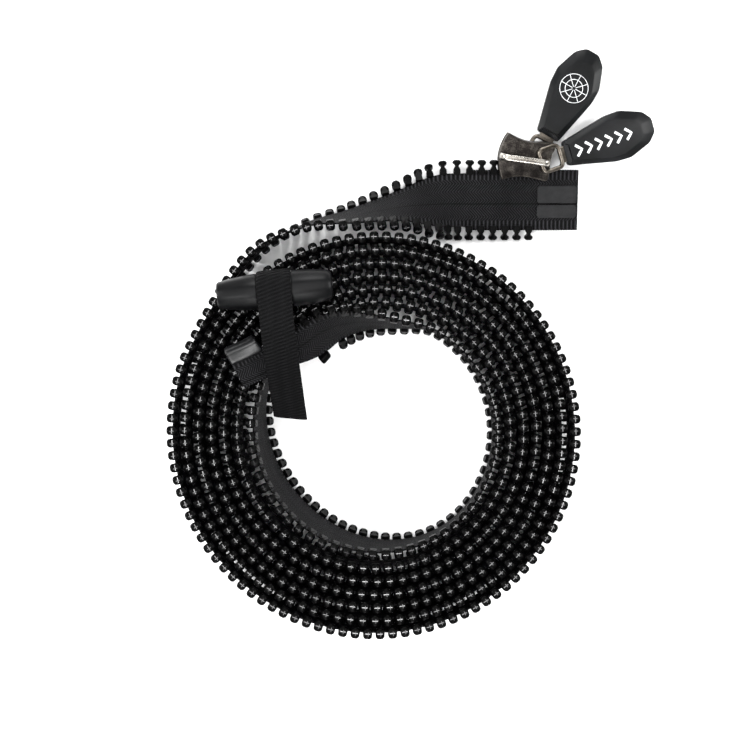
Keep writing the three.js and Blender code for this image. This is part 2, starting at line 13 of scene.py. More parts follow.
import bmesh
import bpy
import numpy as np
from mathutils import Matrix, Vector


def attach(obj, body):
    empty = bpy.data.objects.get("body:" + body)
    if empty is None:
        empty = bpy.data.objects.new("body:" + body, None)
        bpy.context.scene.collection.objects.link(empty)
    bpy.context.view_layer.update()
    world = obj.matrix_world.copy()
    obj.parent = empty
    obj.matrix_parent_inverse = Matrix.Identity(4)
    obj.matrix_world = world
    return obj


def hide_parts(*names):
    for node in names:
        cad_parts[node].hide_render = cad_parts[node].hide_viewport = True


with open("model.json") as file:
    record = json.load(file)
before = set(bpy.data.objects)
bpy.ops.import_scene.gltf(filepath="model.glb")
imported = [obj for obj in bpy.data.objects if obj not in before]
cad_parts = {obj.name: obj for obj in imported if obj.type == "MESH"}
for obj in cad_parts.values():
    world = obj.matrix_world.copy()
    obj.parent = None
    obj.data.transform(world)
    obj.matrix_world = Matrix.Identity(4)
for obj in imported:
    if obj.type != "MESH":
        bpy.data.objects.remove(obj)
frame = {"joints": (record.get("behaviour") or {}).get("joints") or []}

logging.basicConfig(level=logging.INFO, format="%(message)s")
log = logging.getLogger("zipper")

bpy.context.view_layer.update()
MM = 0.001
Array = np.ndarray


class Body(Enum):
    """The bodies of the frame that pieces ride on."""

    COIL = "coil"
    SLIDER = "slider"
    FRONT_PULL = "front_pull"
    BACK_PULL = "back_pull"
    TOGGLE = "toggle"


class Slot(Enum):
    """The record's material slots."""

    CLOTH = "cloth"
    TEETH = "teeth"
    FILM = "film"
    METAL = "metal"
    POLISHED = "polished"
    RUBBER = "rubber"
    WEBBING = "webbing"
    MOULDED = "moulded"


# ---------------------------------------------------------------------------------------------
# meshes


@dataclass
class Shell:
    """A mesh being made: vertices in millimetres, faces as vertex numbers, and a map."""

    points: Array
    faces: list[list[int]]
    uv: Array | None = None

    @staticmethod
    def joined(shells: list["Shell"]) -> "Shell":
        """Joins several shells into one mesh, still as separate closed surfaces.

        Args:
            shells: the shells to join; all have a map, or none has.

        Returns:
            One shell that holds them all.
        """
        points, faces, maps, start = [], [], [], 0
        for shell in shells:
            points.append(shell.points)
            faces.extend([[i + start for i in face] for face in shell.faces])
            start += len(shell.points)
            if shell.uv is not None:
                maps.append(shell.uv)
        return Shell(np.vstack(points), faces, np.vstack(maps) if maps else None)


def grid_faces(rows: int, columns: int, closed_rows: bool = False) -> list[list[int]]:
    """Quads of a tube: rows of points, each row a closed ring of columns points.

    Args:
        rows: number of rings.
        columns: number of points round a ring.
        closed_rows: whether the last ring joins the first.

    Returns:
        The faces, as lists of four vertex numbers.
    """
    r = np.arange(rows if closed_rows else rows - 1)[:, None]
    c = np.arange(columns)[None, :]
    nxt, side = (r + 1) % rows, (c + 1) % columns
    quads = np.stack([r * columns + c, r * columns + side, nxt * columns + side, nxt * columns + c], -1)
    return quads.reshape(-1, 4).tolist()


def tube(rings: Array, closed: bool = False, uv: Array | None = None) -> Shell:
    """A closed surface from rings of points, with a flat cap on each end if it isn't a loop.

    Args:
        rings: array (rows, columns, 3) in millimetres.
        closed: whether the last ring joins the first.
        uv: array (rows, columns, 2) of map places in metres, or None.

    Returns:
        The shell.
    """
    rows, columns = rings.shape[:2]
    faces = grid_faces(rows, columns, closed)
    if not closed:
        last = (rows - 1) * columns
        faces.append(list(range(columns))[::-1])
        faces.append([last + i for i in range(columns)])
    flat_map = None if uv is None else uv.reshape(-1, 2)
    return Shell(rings.reshape(-1, 3), faces, flat_map)


def make_piece(
    name: str,
    shell: Shell,
    material: bpy.types.Material,
    body: Body,
    replaces: tuple[str, ...] = (),
    smooth_degrees: float = 35.0,
) -> bpy.types.Object:
    """Turns a shell into a Blender piece that rides on a body.

    Args:
        name: the piece's name.
        shell: its surface in millimetres.
        material: its finish.
        body: the body it rides on.
        replaces: CAD nodes it stands for.
        smooth_degrees: edges sharper than this stay sharp.

    Returns:
        The new object.
    """
    mesh = bpy.data.meshes.new(name)
    mesh.from_pydata((shell.points * MM).tolist(), [], shell.faces)
    if shell.uv is not None:
        layer = mesh.uv_layers.new(name="band")
        corners = np.empty(len(mesh.loops), dtype=np.int32)
        mesh.loops.foreach_get("vertex_index", corners)
        layer.data.foreach_set("uv", shell.uv[corners].astype(np.float32).ravel())
    mesh.update()
    mesh.validate()
    outward(mesh)
    mesh.polygons.foreach_set("use_smooth", [True] * len(mesh.polygons))
    mesh.set_sharp_from_angle(angle=math.radians(smooth_degrees))
    mesh.materials.append(material)
    piece = bpy.data.objects.new(name, mesh)
    bpy.context.scene.collection.objects.link(piece)
    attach(piece, body.value)
    if replaces:
        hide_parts(*replaces)
    log.info("%s: %d faces on %s", name, len(mesh.polygons), body.value)
    return piece


def outward(mesh: bpy.types.Mesh) -> None:
    """Turns each closed surface of a mesh so that its faces point out.

    Args:
        mesh: the mesh to correct in place.
    """
    work = bmesh.new()
    work.from_mesh(mesh)
    bmesh.ops.recalc_face_normals(work, faces=work.faces)
    work.to_mesh(mesh)
    work.free()


def superellipse(half_a: float, half_b: float, power: float, count: int) -> Array:
    """A rounded rectangle: |x/a|^p + |y/b|^p = 1, the higher p the squarer.

    Args:
        half_a: half width.
        half_b: half height.
        power: p in the formula.
        count: number of points.

    Returns:
        Array (count, 2).
    """
    turn = np.linspace(0, 2 * np.pi, count, endpoint=False) + np.pi / count
    c, s = np.cos(turn), np.sin(turn)
    reach = (np.abs(c) ** power + np.abs(s) ** power) ** (-1 / power)
    return np.stack([half_a * reach * c, half_b * reach * s], -1)


def unit(vectors: Array) -> Array:
    """Vectors divided by their lengths, along the last axis."""
    return vectors / np.linalg.norm(vectors, axis=-1, keepdims=True)


# ---------------------------------------------------------------------------------------------
# finishes


def srgb(text: str) -> tuple[float, float, float, float]:
    """Turns an sRGB hex value to a linear colour with alpha.

    Args:
        text: six hex digits.

    Returns:
        Red, green, blue and alpha.
    """
    parts = [int(text[i : i + 2], 16) / 255 for i in (0, 2, 4)]
    linear = [p / 12.92 if p <= 0.04045 else ((p + 0.055) / 1.055) ** 2.4 for p in parts]
    return (*linear, 1.0)


@dataclass
class NodeSheet:
    """A material's node tree, with one way to add to it."""

    material: bpy.types.Material

    @property
    def shader(self) -> bpy.types.Node:
        """The Principled shader."""
        return self.material.node_tree.nodes["Principled BSDF"]

    def add(self, kind: str, settings: dict | None = None, **inputs: object) -> bpy.types.Node:
        """Adds a node with its settings, and sets or links its inputs.

        Args:
            kind: the node's type.
            settings: attributes of the node.
            **inputs: input names with _ for a space (or i0, i1 for numbered inputs), and a value or an
                output socket to link.

        Returns:
            The node.
        """
        node = self.material.node_tree.nodes.new(kind)
        for key, value in (settings or {}).items():
            setattr(node, key, value)
        for key, value in inputs.items():
            number = key[1:].isdigit() and key[0] == "i"
            socket = node.inputs[int(key[1:])] if number else node.inputs[key.replace("_", " ")]
            self.put(socket, value)
        return node

    def put(self, socket: bpy.types.NodeSocket, value: object) -> None:
        """Links an output to a socket, or sets the socket's own value."""
        if isinstance(value, bpy.types.NodeSocket):
            self.material.node_tree.links.new(value, socket)
        else:
            socket.default_value = value

    def ramp(self, source: bpy.types.NodeSocket, stops: list[tuple[float, str]]) -> bpy.types.NodeSocket:
        """A colour ramp between sRGB values.

        Args:
            source: what drives it, from 0 to 1.
            stops: place and colour of each stop.

        Returns:
            The colour output.
        """
        node = self.add("ShaderNodeValToRGB", i0=source)
        band = node.color_ramp
        while len(band.elements) < len(stops):
            band.elements.new(0.5)
        for element, (place, colour) in zip(band.elements, stops):
            element.position = place
            element.color = srgb(colour)
        return node.outputs[0]

    def grey(self, source: bpy.types.NodeSocket, low: float, high: float) -> bpy.types.NodeSocket:
        """Maps 0..1 to low..high, as a number."""
        node = self.add("ShaderNodeMapRange", i0=source, i3=low, i4=high)
        return node.outputs[0]

    def maths(self, operation: str, *values: object) -> bpy.types.NodeSocket:
        """One arithmetic step on up to three values."""
        inputs = {f"i{i}": value for i, value in enumerate(values)}
        return self.add("ShaderNodeMath", {"operation": operation}, **inputs).outputs[0]

    def wave(self, source: object, period_mm: float) -> bpy.types.NodeSocket:
        """The sine of a distance in millimetres: sin(2 pi source / period)."""
        return self.maths("SINE", self.maths("MULTIPLY", source, 2 * math.pi / period_mm))

    def band_map(self) -> tuple[bpy.types.NodeSocket, bpy.types.NodeSocket]:
        """The piece's own map: distances across and along the band, in millimetres."""
        place = self.add("ShaderNodeUVMap", {"uv_map": "band"}).outputs[0]
        split = self.add("ShaderNodeSeparateXYZ", Vector=place)
        across, along = (self.maths("MULTIPLY", split.outputs[i], 1 / MM) for i in range(2))
        return across, along

    def noise(self, size_mm: float, detail: float = 3.0, place: object = None) -> bpy.types.NodeSocket:
        """Noise whose lumps are about size_mm across, on Object coordinates unless place is given."""
        where = place or self.add("ShaderNodeTexCoord").outputs["Object"]
        node = self.add("ShaderNodeTexNoise", Vector=where, Scale=1 / (MM * size_mm), Detail=detail)
        return node.outputs[0]

    def bump(self, height: bpy.types.NodeSocket, depth_mm: float, strength: float = 1.0) -> None:
        """Makes height the surface's relief, depth_mm deep."""
        node = self.add("ShaderNodeBump", Strength=strength, Distance=depth_mm * MM, Height=height)
        self.put(self.shader.inputs["Normal"], node.outputs[0])


@dataclass(frozen=True)
class Finish:
    """What every finish shares: a real material's name, and its plain shader values."""

    name: str
    colour: str
    roughness: float
    metallic: float = 0.0
    specular: float = 0.5

    def sheet(self) -> NodeSheet:
        """Makes the material with its plain values set on the shader itself.

        Returns:
            The node sheet, ready for detail.
        """
        material = bpy.data.materials.new(self.name)
        material.use_nodes = True
        sheet = NodeSheet(material)
        shader = sheet.shader
        shader.inputs["Base Color"].default_value = srgb(self.colour)
        shader.inputs["Roughness"].default_value = self.roughness
        shader.inputs["Metallic"].default_value = self.metallic
        shader.inputs["Specular IOR Level"].default_value = self.specular
        return sheet


@dataclass(frozen=True)
class WovenTape(Finish):
    """Black polyester zipper tape: herringbone weave, a ladder of stitches by each edge, one crease dented in
    the relief with painted shade along it.
    """

    rib_mm: float = 1.05
    column_mm: float = 3.1
    thread_mm: float = 0.42
    edge_mm: float = 7.6
    ladder_mm: float = 1.5
    crease_mm: float = 1.4

    def build(self) -> bpy.types.Material:
        """Slanting ribs that change direction from column to column, with thread grain and lint.

        Returns:
            The material, on the piece's own map (x across and y along, in metres).
        """
        sheet = self.sheet()
        across, along = sheet.band_map()
        zigzag = sheet.maths("PINGPONG", across, self.column_mm)
        slant = sheet.maths("MULTIPLY_ADD", zigzag, 0.9, along)
        rib = sheet.maths("MULTIPLY_ADD", sheet.wave(slant, self.rib_mm), 0.5, 0.5)
        threads = sheet.wave(across, self.thread_mm)
        middle = sheet.maths("MULTIPLY_ADD", threads, 0.22, rib)
        edge = sheet.maths("GREATER_THAN", sheet.maths("ABSOLUTE", across), self.edge_mm)
        ladder = sheet.wave(along, self.ladder_mm)
        gap = sheet.maths("SUBTRACT", sheet.maths("MULTIPLY_ADD", ladder, 0.7, 0.5), middle)
        woven = sheet.maths("MULTIPLY_ADD", gap, edge, middle)
        # The crease is a dent in the relief, and a dark line in the colour that is painted shade in the fold.
        crease_dent_and_shade = sheet.maths("COMPARE", across, self.crease_mm, 0.22)
        weave = sheet.maths("MULTIPLY_ADD", crease_dent_and_shade, -0.9, woven)
        lint = sheet.noise(0.5, 6.0)
        patches = sheet.noise(14.0, 2.0)
        tone = sheet.maths("MULTIPLY_ADD", lint, 0.35, sheet.maths("MULTIPLY", weave, 0.55))
        shade = sheet.maths("MULTIPLY_ADD", patches, 0.25, tone)
        colour = sheet.ramp(shade, [(0.2, "020202"), (0.6, "0b0b0c"), (1.0, "29292b")])
        sheet.put(sheet.shader.inputs["Base Color"], colour)
        sheet.put(sheet.shader.inputs["Roughness"], sheet.grey(rib, 0.85, 0.6))
        sheet.bump(weave, 0.16, 0.9)
        return sheet.material


@dataclass(frozen=True)
class RibbedWebbing(Finish):
    """Black polyester webbing: round cross ribs of thick weft under fine lengthwise warp."""

    rib_mm: float = 1.35
    warp_mm: float = 0.55

    def build(self) -> bpy.types.Material:
        """Cross ribs slightly slanted, broken by the warp threads.

        Returns:
            The material, on the piece's own map.
        """
        sheet = self.sheet()
        across, along = sheet.band_map()
        slant = sheet.maths("MULTIPLY_ADD", across, 0.28, along)
        rib, warp = sheet.wave(slant, self.rib_mm), sheet.wave(across, self.warp_mm)
        weave = sheet.maths("MULTIPLY_ADD", sheet.maths("MULTIPLY", rib, warp), 0.18,
                            sheet.maths("MULTIPLY_ADD", rib, 0.32, 0.5))
        lint = sheet.noise(0.6, 4.0)
        shade = sheet.maths("MULTIPLY_ADD", lint, 0.4, sheet.maths("MULTIPLY", weave, 0.6))
        colour = sheet.ramp(shade, [(0.2, "030303"), (0.6, "0a0a0b"), (1.0, "171718")])
        sheet.put(sheet.shader.inputs["Base Color"], colour)
        sheet.put(sheet.shader.inputs["Roughness"], sheet.grey(weave, 0.85, 0.6))
        sheet.bump(weave, 0.3, 1.0)
        return sheet.material


@dataclass(frozen=True)
class Moulding(Finish):
    """Injection-moulded plastic or rubber: a faint orange peel, handling marks and a soft mottle."""

    grain_mm: float = 0.5
    grain_depth_mm: float = 0.02
    light: str = "2a2a2c"
    spread: float = 0.12
    coat: float = 0.0

    def build(self) -> bpy.types.Material:
        """Fine grain in the relief, broad changes in tone and gloss.

        Returns:
            The material.
        """
        sheet = self.sheet()
        grain = sheet.noise(self.grain_mm, 2.0)
        broad = sheet.noise(9.0, 3.0)
        colour = sheet.ramp(broad, [(0.3, self.colour), (0.75, self.light)])
        sheet.put(sheet.shader.inputs["Base Color"], colour)
        low, high = self.roughness - self.spread / 2, self.roughness + self.spread / 2
        sheet.put(sheet.shader.inputs["Roughness"], sheet.grey(broad, low, high))
        sheet.shader.inputs["Coat Weight"].default_value = self.coat
        sheet.shader.inputs["Coat Roughness"].default_value = 0.12
        sheet.bump(grain, self.grain_depth_mm, 0.6)
        return sheet.material


@dataclass(frozen=True)
class PlatedCasting(Finish):
    """Zinc casting, tumbled and plated: dark with the plating worn bright on its edges."""

    middle: str = "454341"
    worn: str = "b9b6b0"
    wear: float = 0.5
    pit_mm: float = 0.35

    def build(self) -> bpy.types.Material:
        """Tumbling pits in the relief, and bright metal where the surface turns away at an edge.

        Returns:
            The material.
        """
        sheet = self.sheet()
        pits = sheet.noise(self.pit_mm, 5.0)
        cloud = sheet.noise(3.5, 4.0)
        edge = sheet.add("ShaderNodeNewGeometry").outputs["Pointiness"]
        sharp = sheet.add("ShaderNodeMapRange", i0=edge, i1=0.5, i2=0.56, i3=0.0, i4=self.wear).outputs[0]
        mottled = sheet.maths("MULTIPLY_ADD", cloud, 0.4, sheet.maths("MULTIPLY_ADD", pits, 0.4, sharp))
        colour = sheet.ramp(mottled, [(0.3, self.colour), (0.48, self.middle), (0.8, self.worn)])
        sheet.put(sheet.shader.inputs["Base Color"], colour)
        low, high = self.roughness - 0.08, self.roughness + 0.14
        sheet.put(sheet.shader.inputs["Roughness"], sheet.grey(cloud, low, high))
        sheet.bump(pits, 0.05, 0.8)
        return sheet.material


@dataclass(frozen=True)
class PressedFilm(Finish):
    """Clear film pressed hot on the cloth, whose weave shows through; here drawn as fine grain and a few
    wrinkles.
    """

    def build(self) -> bpy.types.Material:
        """A glossy face with fine grain and a few wrinkles in its relief.

        Returns:
            The material.
        """
        sheet = self.sheet()
        wrinkle = sheet.noise(2.4, 4.0)
        fine = sheet.noise(0.5, 3.0)
        shade = sheet.maths("MULTIPLY_ADD", fine, 0.35, sheet.maths("MULTIPLY", wrinkle, 0.6))
        colour = sheet.ramp(shade, [(0.3, "0f1011"), (0.6, "1b1b1c"), (0.85, "2c2d2f")])
        sheet.put(sheet.shader.inputs["Base Color"], colour)
        sheet.put(sheet.shader.inputs["Roughness"], sheet.grey(wrinkle, 0.4, 0.6))
        sheet.bump(shade, 0.12, 0.7)
        return sheet.material


@dataclass(frozen=True)
class PrintedMark(Finish):
    """Pad-printed ink on moulded rubber: thin, with tiny gaps where it didn't take."""

    def build(self) -> bpy.types.Material:
        """Ink a little uneven in tone.

        Returns:
            The material.
        """
        sheet = self.sheet()
        speck = sheet.noise(0.4, 3.0)
        colour = sheet.ramp(speck, [(0.25, "b9bcbf"), (0.5, "e4e6e8"), (1.0, "f2f3f4")])
        sheet.put(sheet.shader.inputs["Base Color"], colour)
        sheet.bump(speck, 0.01, 0.4)
        return sheet.material


class Finishes:
    """Every finish of the zipper, made once."""

    def __init__(self) -> None:
        """Builds each material."""
        # Polyester cloth scatters what little light it returns, so it has next to no gloss.
        self.tape = WovenTape("Woven black polyester tape", "0c0c0d", 0.75, specular=0.06).build()
        # Webbing is as dull as the tape, and its thick cross ribs show as soft dark bands.
        self.webbing = RibbedWebbing("Ribbed black polyester webbing", "121213", 0.8, specular=0.06).build()
        # Acetal teeth are black right through, with a soft sheen from the mould.
        self.teeth = Moulding("Moulded black acetal", "010101", 0.36, specular=0.04, light="030303",
                              spread=0.1, grain_mm=0.8, grain_depth_mm=0.006).build()
        # The low cross on each tip is far glossier than the tooth and gives it its glint; its grey colour,
        # paler than the black tooth, is a painted highlight that brightens that glint.
        self.ridge = Moulding("Acetal ridge with painted glint", "141415", 0.16, specular=1.0, light="262627",
                              spread=0.06, grain_mm=0.5, grain_depth_mm=0.004, coat=0.6).build()
        # The end box is the same plastic, polished in its mould, so it shows soft streaks.
        self.box = Moulding("Moulded acetal box", "060607", 0.3, specular=0.3, light="0e0f10",
                            grain_mm=0.8, grain_depth_mm=0.01).build()
        # Film over cloth is a little paler than the cloth and shows its grain.
        self.film = PressedFilm("Pressed clear film on cloth", "202122", 0.5, specular=0.13).build()
        # Gunmetal plating is dark and mottled, and paler where it is rubbed.
        self.casting = PlatedCasting("Gunmetal-plated zinc casting", "060505", 0.32, 1.0,
                                     middle="171514", worn="524e49", wear=0.3).build()
        # The pulls' rings rub on their bridges all day, so they are browner and paler than the body.
        self.link = PlatedCasting("Rubbed plated link", "0e0c0b", 0.3, 1.0, middle="2a2622", worn="6a645c",
                                  wear=0.5).build()
        # The bridges are rubbed through to bare metal along their tops.
        self.bright = PlatedCasting("Worn bright bridge", "1c1a18", 0.24, 1.0, middle="57534e",
                                    worn="b4b0a9", wear=0.6).build()
        # Soft rubber for the pulls is dull and a little dusty.
        self.rubber = Moulding("Moulded charcoal rubber", "070808", 0.4, specular=0.15, light="0e0f11",
                               grain_mm=0.35, grain_depth_mm=0.03).build()
        # The barrel is satin nylon, which reflects light in long soft streaks.
        self.barrel = Moulding("Moulded satin nylon", "040405", 0.42, specular=0.12, light="08090a",
                               grain_mm=1.2, grain_depth_mm=0.02).build()
        # Bonded thread is a shade paler than the webbing it is sewn into.
        self.thread = Moulding("Bonded polyester thread", "121213", 0.6, specular=0.2, light="1f1f20").build()
        # White ink stands out flat and matt on the dark rubber.
        self.ink = PrintedMark("Pad-printed white ink", "e8e9ea", 0.5).build()


# ---------------------------------------------------------------------------------------------
# the band's path


def smooth_line(knots: Array, per_knot: int) -> Array:
    """A uniform Catmull-Rom curve: each span is the cubic through its ends with slopes half the chord.

    Args:
        knots: array (count, any) the curve passes through.
        per_knot: samples in each span.

    Returns:
        Array ((count - 1) * per_knot + 1, any).
    """
    ends = np.vstack([2 * knots[:1] - knots[1:2], knots, 2 * knots[-1:] - knots[-2:-1]])
    t = np.linspace(0, 1, per_knot, endpoint=False)[None, :, None]
    p0, p1, p2, p3 = (ends[i : i + len(knots) - 1][:, None, :] for i in range(4))
    slope1, slope2 = (p2 - p0) / 2, (p3 - p1) / 2
    spans = (
        (2 * t**3 - 3 * t**2 + 1) * p1
        + (t**3 - 2 * t**2 + t) * slope1
        + (3 * t**2 - 2 * t**3) * p2
        + (t**3 - t**2) * slope2
    )
    return np.vstack([spans.reshape(-1, knots.shape[1]), knots[-1:]])


@dataclass
class BandPath:
    """The middle line of the zipper: inner end, coil of several turns, and outer tail.

    A place is a distance along the band in millimetres. Each has a middle, a direction along, a
    direction across (bottom edge to top edge) and the direction its face looks.
    """

    shift: Array
    half_width: float = 15.0
    tooth_thickness: float = 3.2
    inner_radius: float = 42.4
    pitch: float = 4.7
    turns_degrees: float = 2440.0
    start_degrees: float = 80.0
    lean_degrees: float = 16.0
    prop_degrees: float = 13.0
    tail_line: float = 86.2
    tail_start: float = 32.0
    tail_end: float = 75.3
    tail_lift: float = 1.65
    row_middle: float = 12.3
    inner_knots: tuple = (
        (-47.8, 16.4, 32.0, -68), (-39.0, 20.9, 31.8, -64), (-28.8, 28.6, 30.2, -51),
        (-18.6, 36.6, 26.2, -34), (-10.4, 39.4, 21.4, -23), (-2.0, 40.1, 17.8, -14),
        (7.1, 39.4, 15.6, -7),
    )
    roll_knots: tuple = (
        (-47.8, 62.6, 15.3, 0), (-27.5, 75.4, 15.4, 8), (-10.0, 79.2, 15.0, 20),
        (8.0, 83.2, 13.0, 38), (18.0, 84.9, 9.6, 62), (25.0, 85.9, 6.9, 84),
    )

    def __post_init__(self) -> None:
        """Samples the whole path once."""
        flat = 90 + self.prop_degrees
        inner = np.vstack([self.inner_knots, self.coil(np.array([20.0, 40.0]))])
        steps = 24
        start = smooth_line(inner, steps)[:-steps]
        turns = self.coil(np.arange(22.0, self.turns_degrees, 2.0))
        tail_knots = np.vstack([
            self.coil(np.array([self.turns_degrees - 20, self.turns_degrees])), self.roll_knots,
            [(self.tail_start, self.tail_line, self.tail_height, flat)],
            [(self.tail_start + 8, self.tail_line, self.tail_height, flat)],
        ])
        roll = smooth_line(tail_knots, steps)[steps:-steps]
        straight = np.linspace(self.tail_start + 1, self.tail_end, 12)
        rest = np.stack([straight, *(np.full(12, v) for v in (self.tail_line, self.tail_height, flat))], -1)
        self.samples = np.vstack([start, turns, roll, rest])
        self.knots = np.concatenate([
            np.arange(len(start)) / steps, np.full(len(turns) + len(roll) + len(rest), 99.0)
        ])
        gaps = np.linalg.norm(np.diff(self.samples[:, :3], axis=0), axis=1)
        self.distance = np.concatenate([[0.0], np.cumsum(gaps)])
        self.tangents = unit(np.gradient(self.samples[:, :2], self.distance, axis=0))

    @property
    def tail_height(self) -> float:
        """Height of the flat tail's middle line."""
        prop = math.radians(self.prop_degrees)
        return self.tooth_thickness / 2 + self.tail_lift + self.row_middle * math.sin(prop)

    @property
    def length(self) -> float:
        """Length of the whole band."""
        return float(self.distance[-1])

    def coil(self, travel: Array) -> Array:
        """The coil: a spiral whose radius grows by the pitch each turn; the inmost turn leans a little.

        Args:
            travel: degrees travelled clockwise from the start.

        Returns:
            Array (count, 4): x, y, z and lean in degrees.
        """
        loose = np.clip((travel - 120) / 200, 0, 1)
        lean = self.lean_degrees * np.sin(np.pi * loose) ** 2
        tilt = np.radians(lean)
        radius = self.inner_radius + self.pitch * travel / 360 - self.half_width * np.sin(tilt)
        height = self.half_width * np.cos(tilt) + self.tooth_thickness / 2 * np.sin(tilt)
        angle = np.radians(self.start_degrees - travel)
        return np.stack([radius * np.cos(angle), radius * np.sin(angle), height, -lean], -1)

    def at(self, where: Array) -> tuple[Array, Array, Array, Array]:
        """The band's place at some distances: along is level, and the band leans about it.

        Args:
            where: distances in millimetres.

        Returns:
            Middles, alongs, acrosses and faces, each (count, 3).
        """
        middle = np.stack([np.interp(where, self.distance, self.samples[:, i]) for i in range(3)], -1)
        lean = np.radians(np.interp(where, self.distance, self.samples[:, 3]))
        flat = unit(np.stack([np.interp(where, self.distance, self.tangents[:, i]) for i in range(2)], -1))
        level = np.zeros_like(lean)
        along = np.stack([flat[:, 0], flat[:, 1], level], -1)
        outward_side = np.stack([-flat[:, 1], flat[:, 0], level], -1)
        up = np.array([0.0, 0.0, 1.0])
        across = np.cos(lean)[:, None] * up - np.sin(lean)[:, None] * outward_side
        return middle + self.shift, along, across, -np.cross(along, across)

    def at_knot(self, knot: float) -> float:
        """The distance of a knot of the inner end."""
        return float(np.interp(knot, self.knots[: 7 * 24], self.distance[: 7 * 24]))

    def at_tail(self, x: float) -> float:
        """The distance of a place x along the straight tail, in the coil's own frame."""
        return self.length - (self.tail_end - x)

    def knot_at(self, where: Array) -> Array:
        """The inner end's knot number at some distances, large beyond them."""
        return np.interp(where, self.distance, self.knots)

    def tail_frame(self, x: float, offset: float, yaw: float = 0.0) -> tuple[Array, Array]:
        """A frame laid in the plane of the flat tail: x along it, y outward, z its face.

        Args:
            x: place along the tail.
            offset: distance outward from its middle line.
            yaw: degrees turned in its plane.

        Returns:
            The origin and the axes, as the columns of a matrix.
        """
        prop, turn = math.radians(self.prop_degrees), math.radians(yaw)
        rise, run = math.sin(prop), math.cos(prop)
        origin = np.array([x, self.tail_line + offset * run, self.tail_height + offset * rise])
        tilted = np.array([[1, 0, 0], [0, run, -rise], [0, rise, run]])
        c, s = math.cos(turn), math.sin(turn)
        return origin + self.shift, tilted @ np.array([[c, -s, 0], [s, c, 0], [0, 0, 1]])

    def sweep(self, where: Array, sections: Array, uv: bool = False) -> Shell:
        """Carries a section along the band: each point is middle + a times across + f times face.

        Args:
            where: distances of the sections.
            sections: array (count of distances or 1, points, 2) of a and f.
            uv: whether to map it: a across, distance along, in metres.

        Returns:
            The closed shell.
        """
        middle, _, across, face = self.at(where)
        sections = np.broadcast_to(sections, (len(where), *sections.shape[1:]))
        rings = middle[:, None] + sections[..., :1] * across[:, None] + sections[..., 1:] * face[:, None]
        place = None
        if uv:
            along = np.broadcast_to(where[:, None], sections.shape[:2])
            place = np.stack([sections[..., 0], along], -1) * MM
        return tube(rings, uv=place)


# ---------------------------------------------------------------------------------------------
# the band


@dataclass
class Tape:
    """The woven tape between the two edges, cut back to half its width at the inner end."""

    path: BandPath
    half: float = 10.05
    thickness: float = 0.9
    trimmed: float = 0.5
    full_knot: float = 3.0
    step: float = 3.0
    waviness: float = 0.12
    columns: int = 12

    def low_edge(self, where: Array) -> Array:
        """The bottom edge: a smooth step from the trimmed half to the full width."""
        t = np.clip((self.path.knot_at(where) - 1) / (self.full_knot - 1), 0, 1)
        full = t * t * (3 - 2 * t)
        return -(self.trimmed + full * (self.half - self.trimmed))

    def section(self, where: Array) -> Array:
        """Thin sections: points spread over both faces, the cloth waving a little along the band.

        Args:
            where: distances of the sections.

        Returns:
            Array (count, points, 2).
        """
        low = self.low_edge(where)[:, None]
        t = np.linspace(0, 1, self.columns)[None, :]
        a = low + (self.half - low) * t
        wave = self.waviness * np.sin(np.pi * t) * (
            np.sin(where[:, None] / 9.0) + 0.6 * np.sin(where[:, None] / 3.7 + 2 * t)
        )
        half = self.thickness / 2
        round_off = 1 - 0.35 * np.abs(2 * t - 1) ** 12
        lower = np.stack([a, wave - half * round_off], -1)
        upper = np.stack([a, wave + half * round_off], -1)[:, ::-1]
        return np.concatenate([lower, upper], 1)

    def build(self, finishes: Finishes) -> bpy.types.Object:
        """Args:
            finishes: the finishes.

        Returns:
            The tape.
        """
        where = np.linspace(0, self.path.length, int(self.path.length / self.step))
        shell = self.path.sweep(where, self.section(where), uv=True)
        piece = make_piece("tape_weave", shell, finishes.tape, Body.COIL, ("tape",))
        low = self.low_edge(where)
        return piece


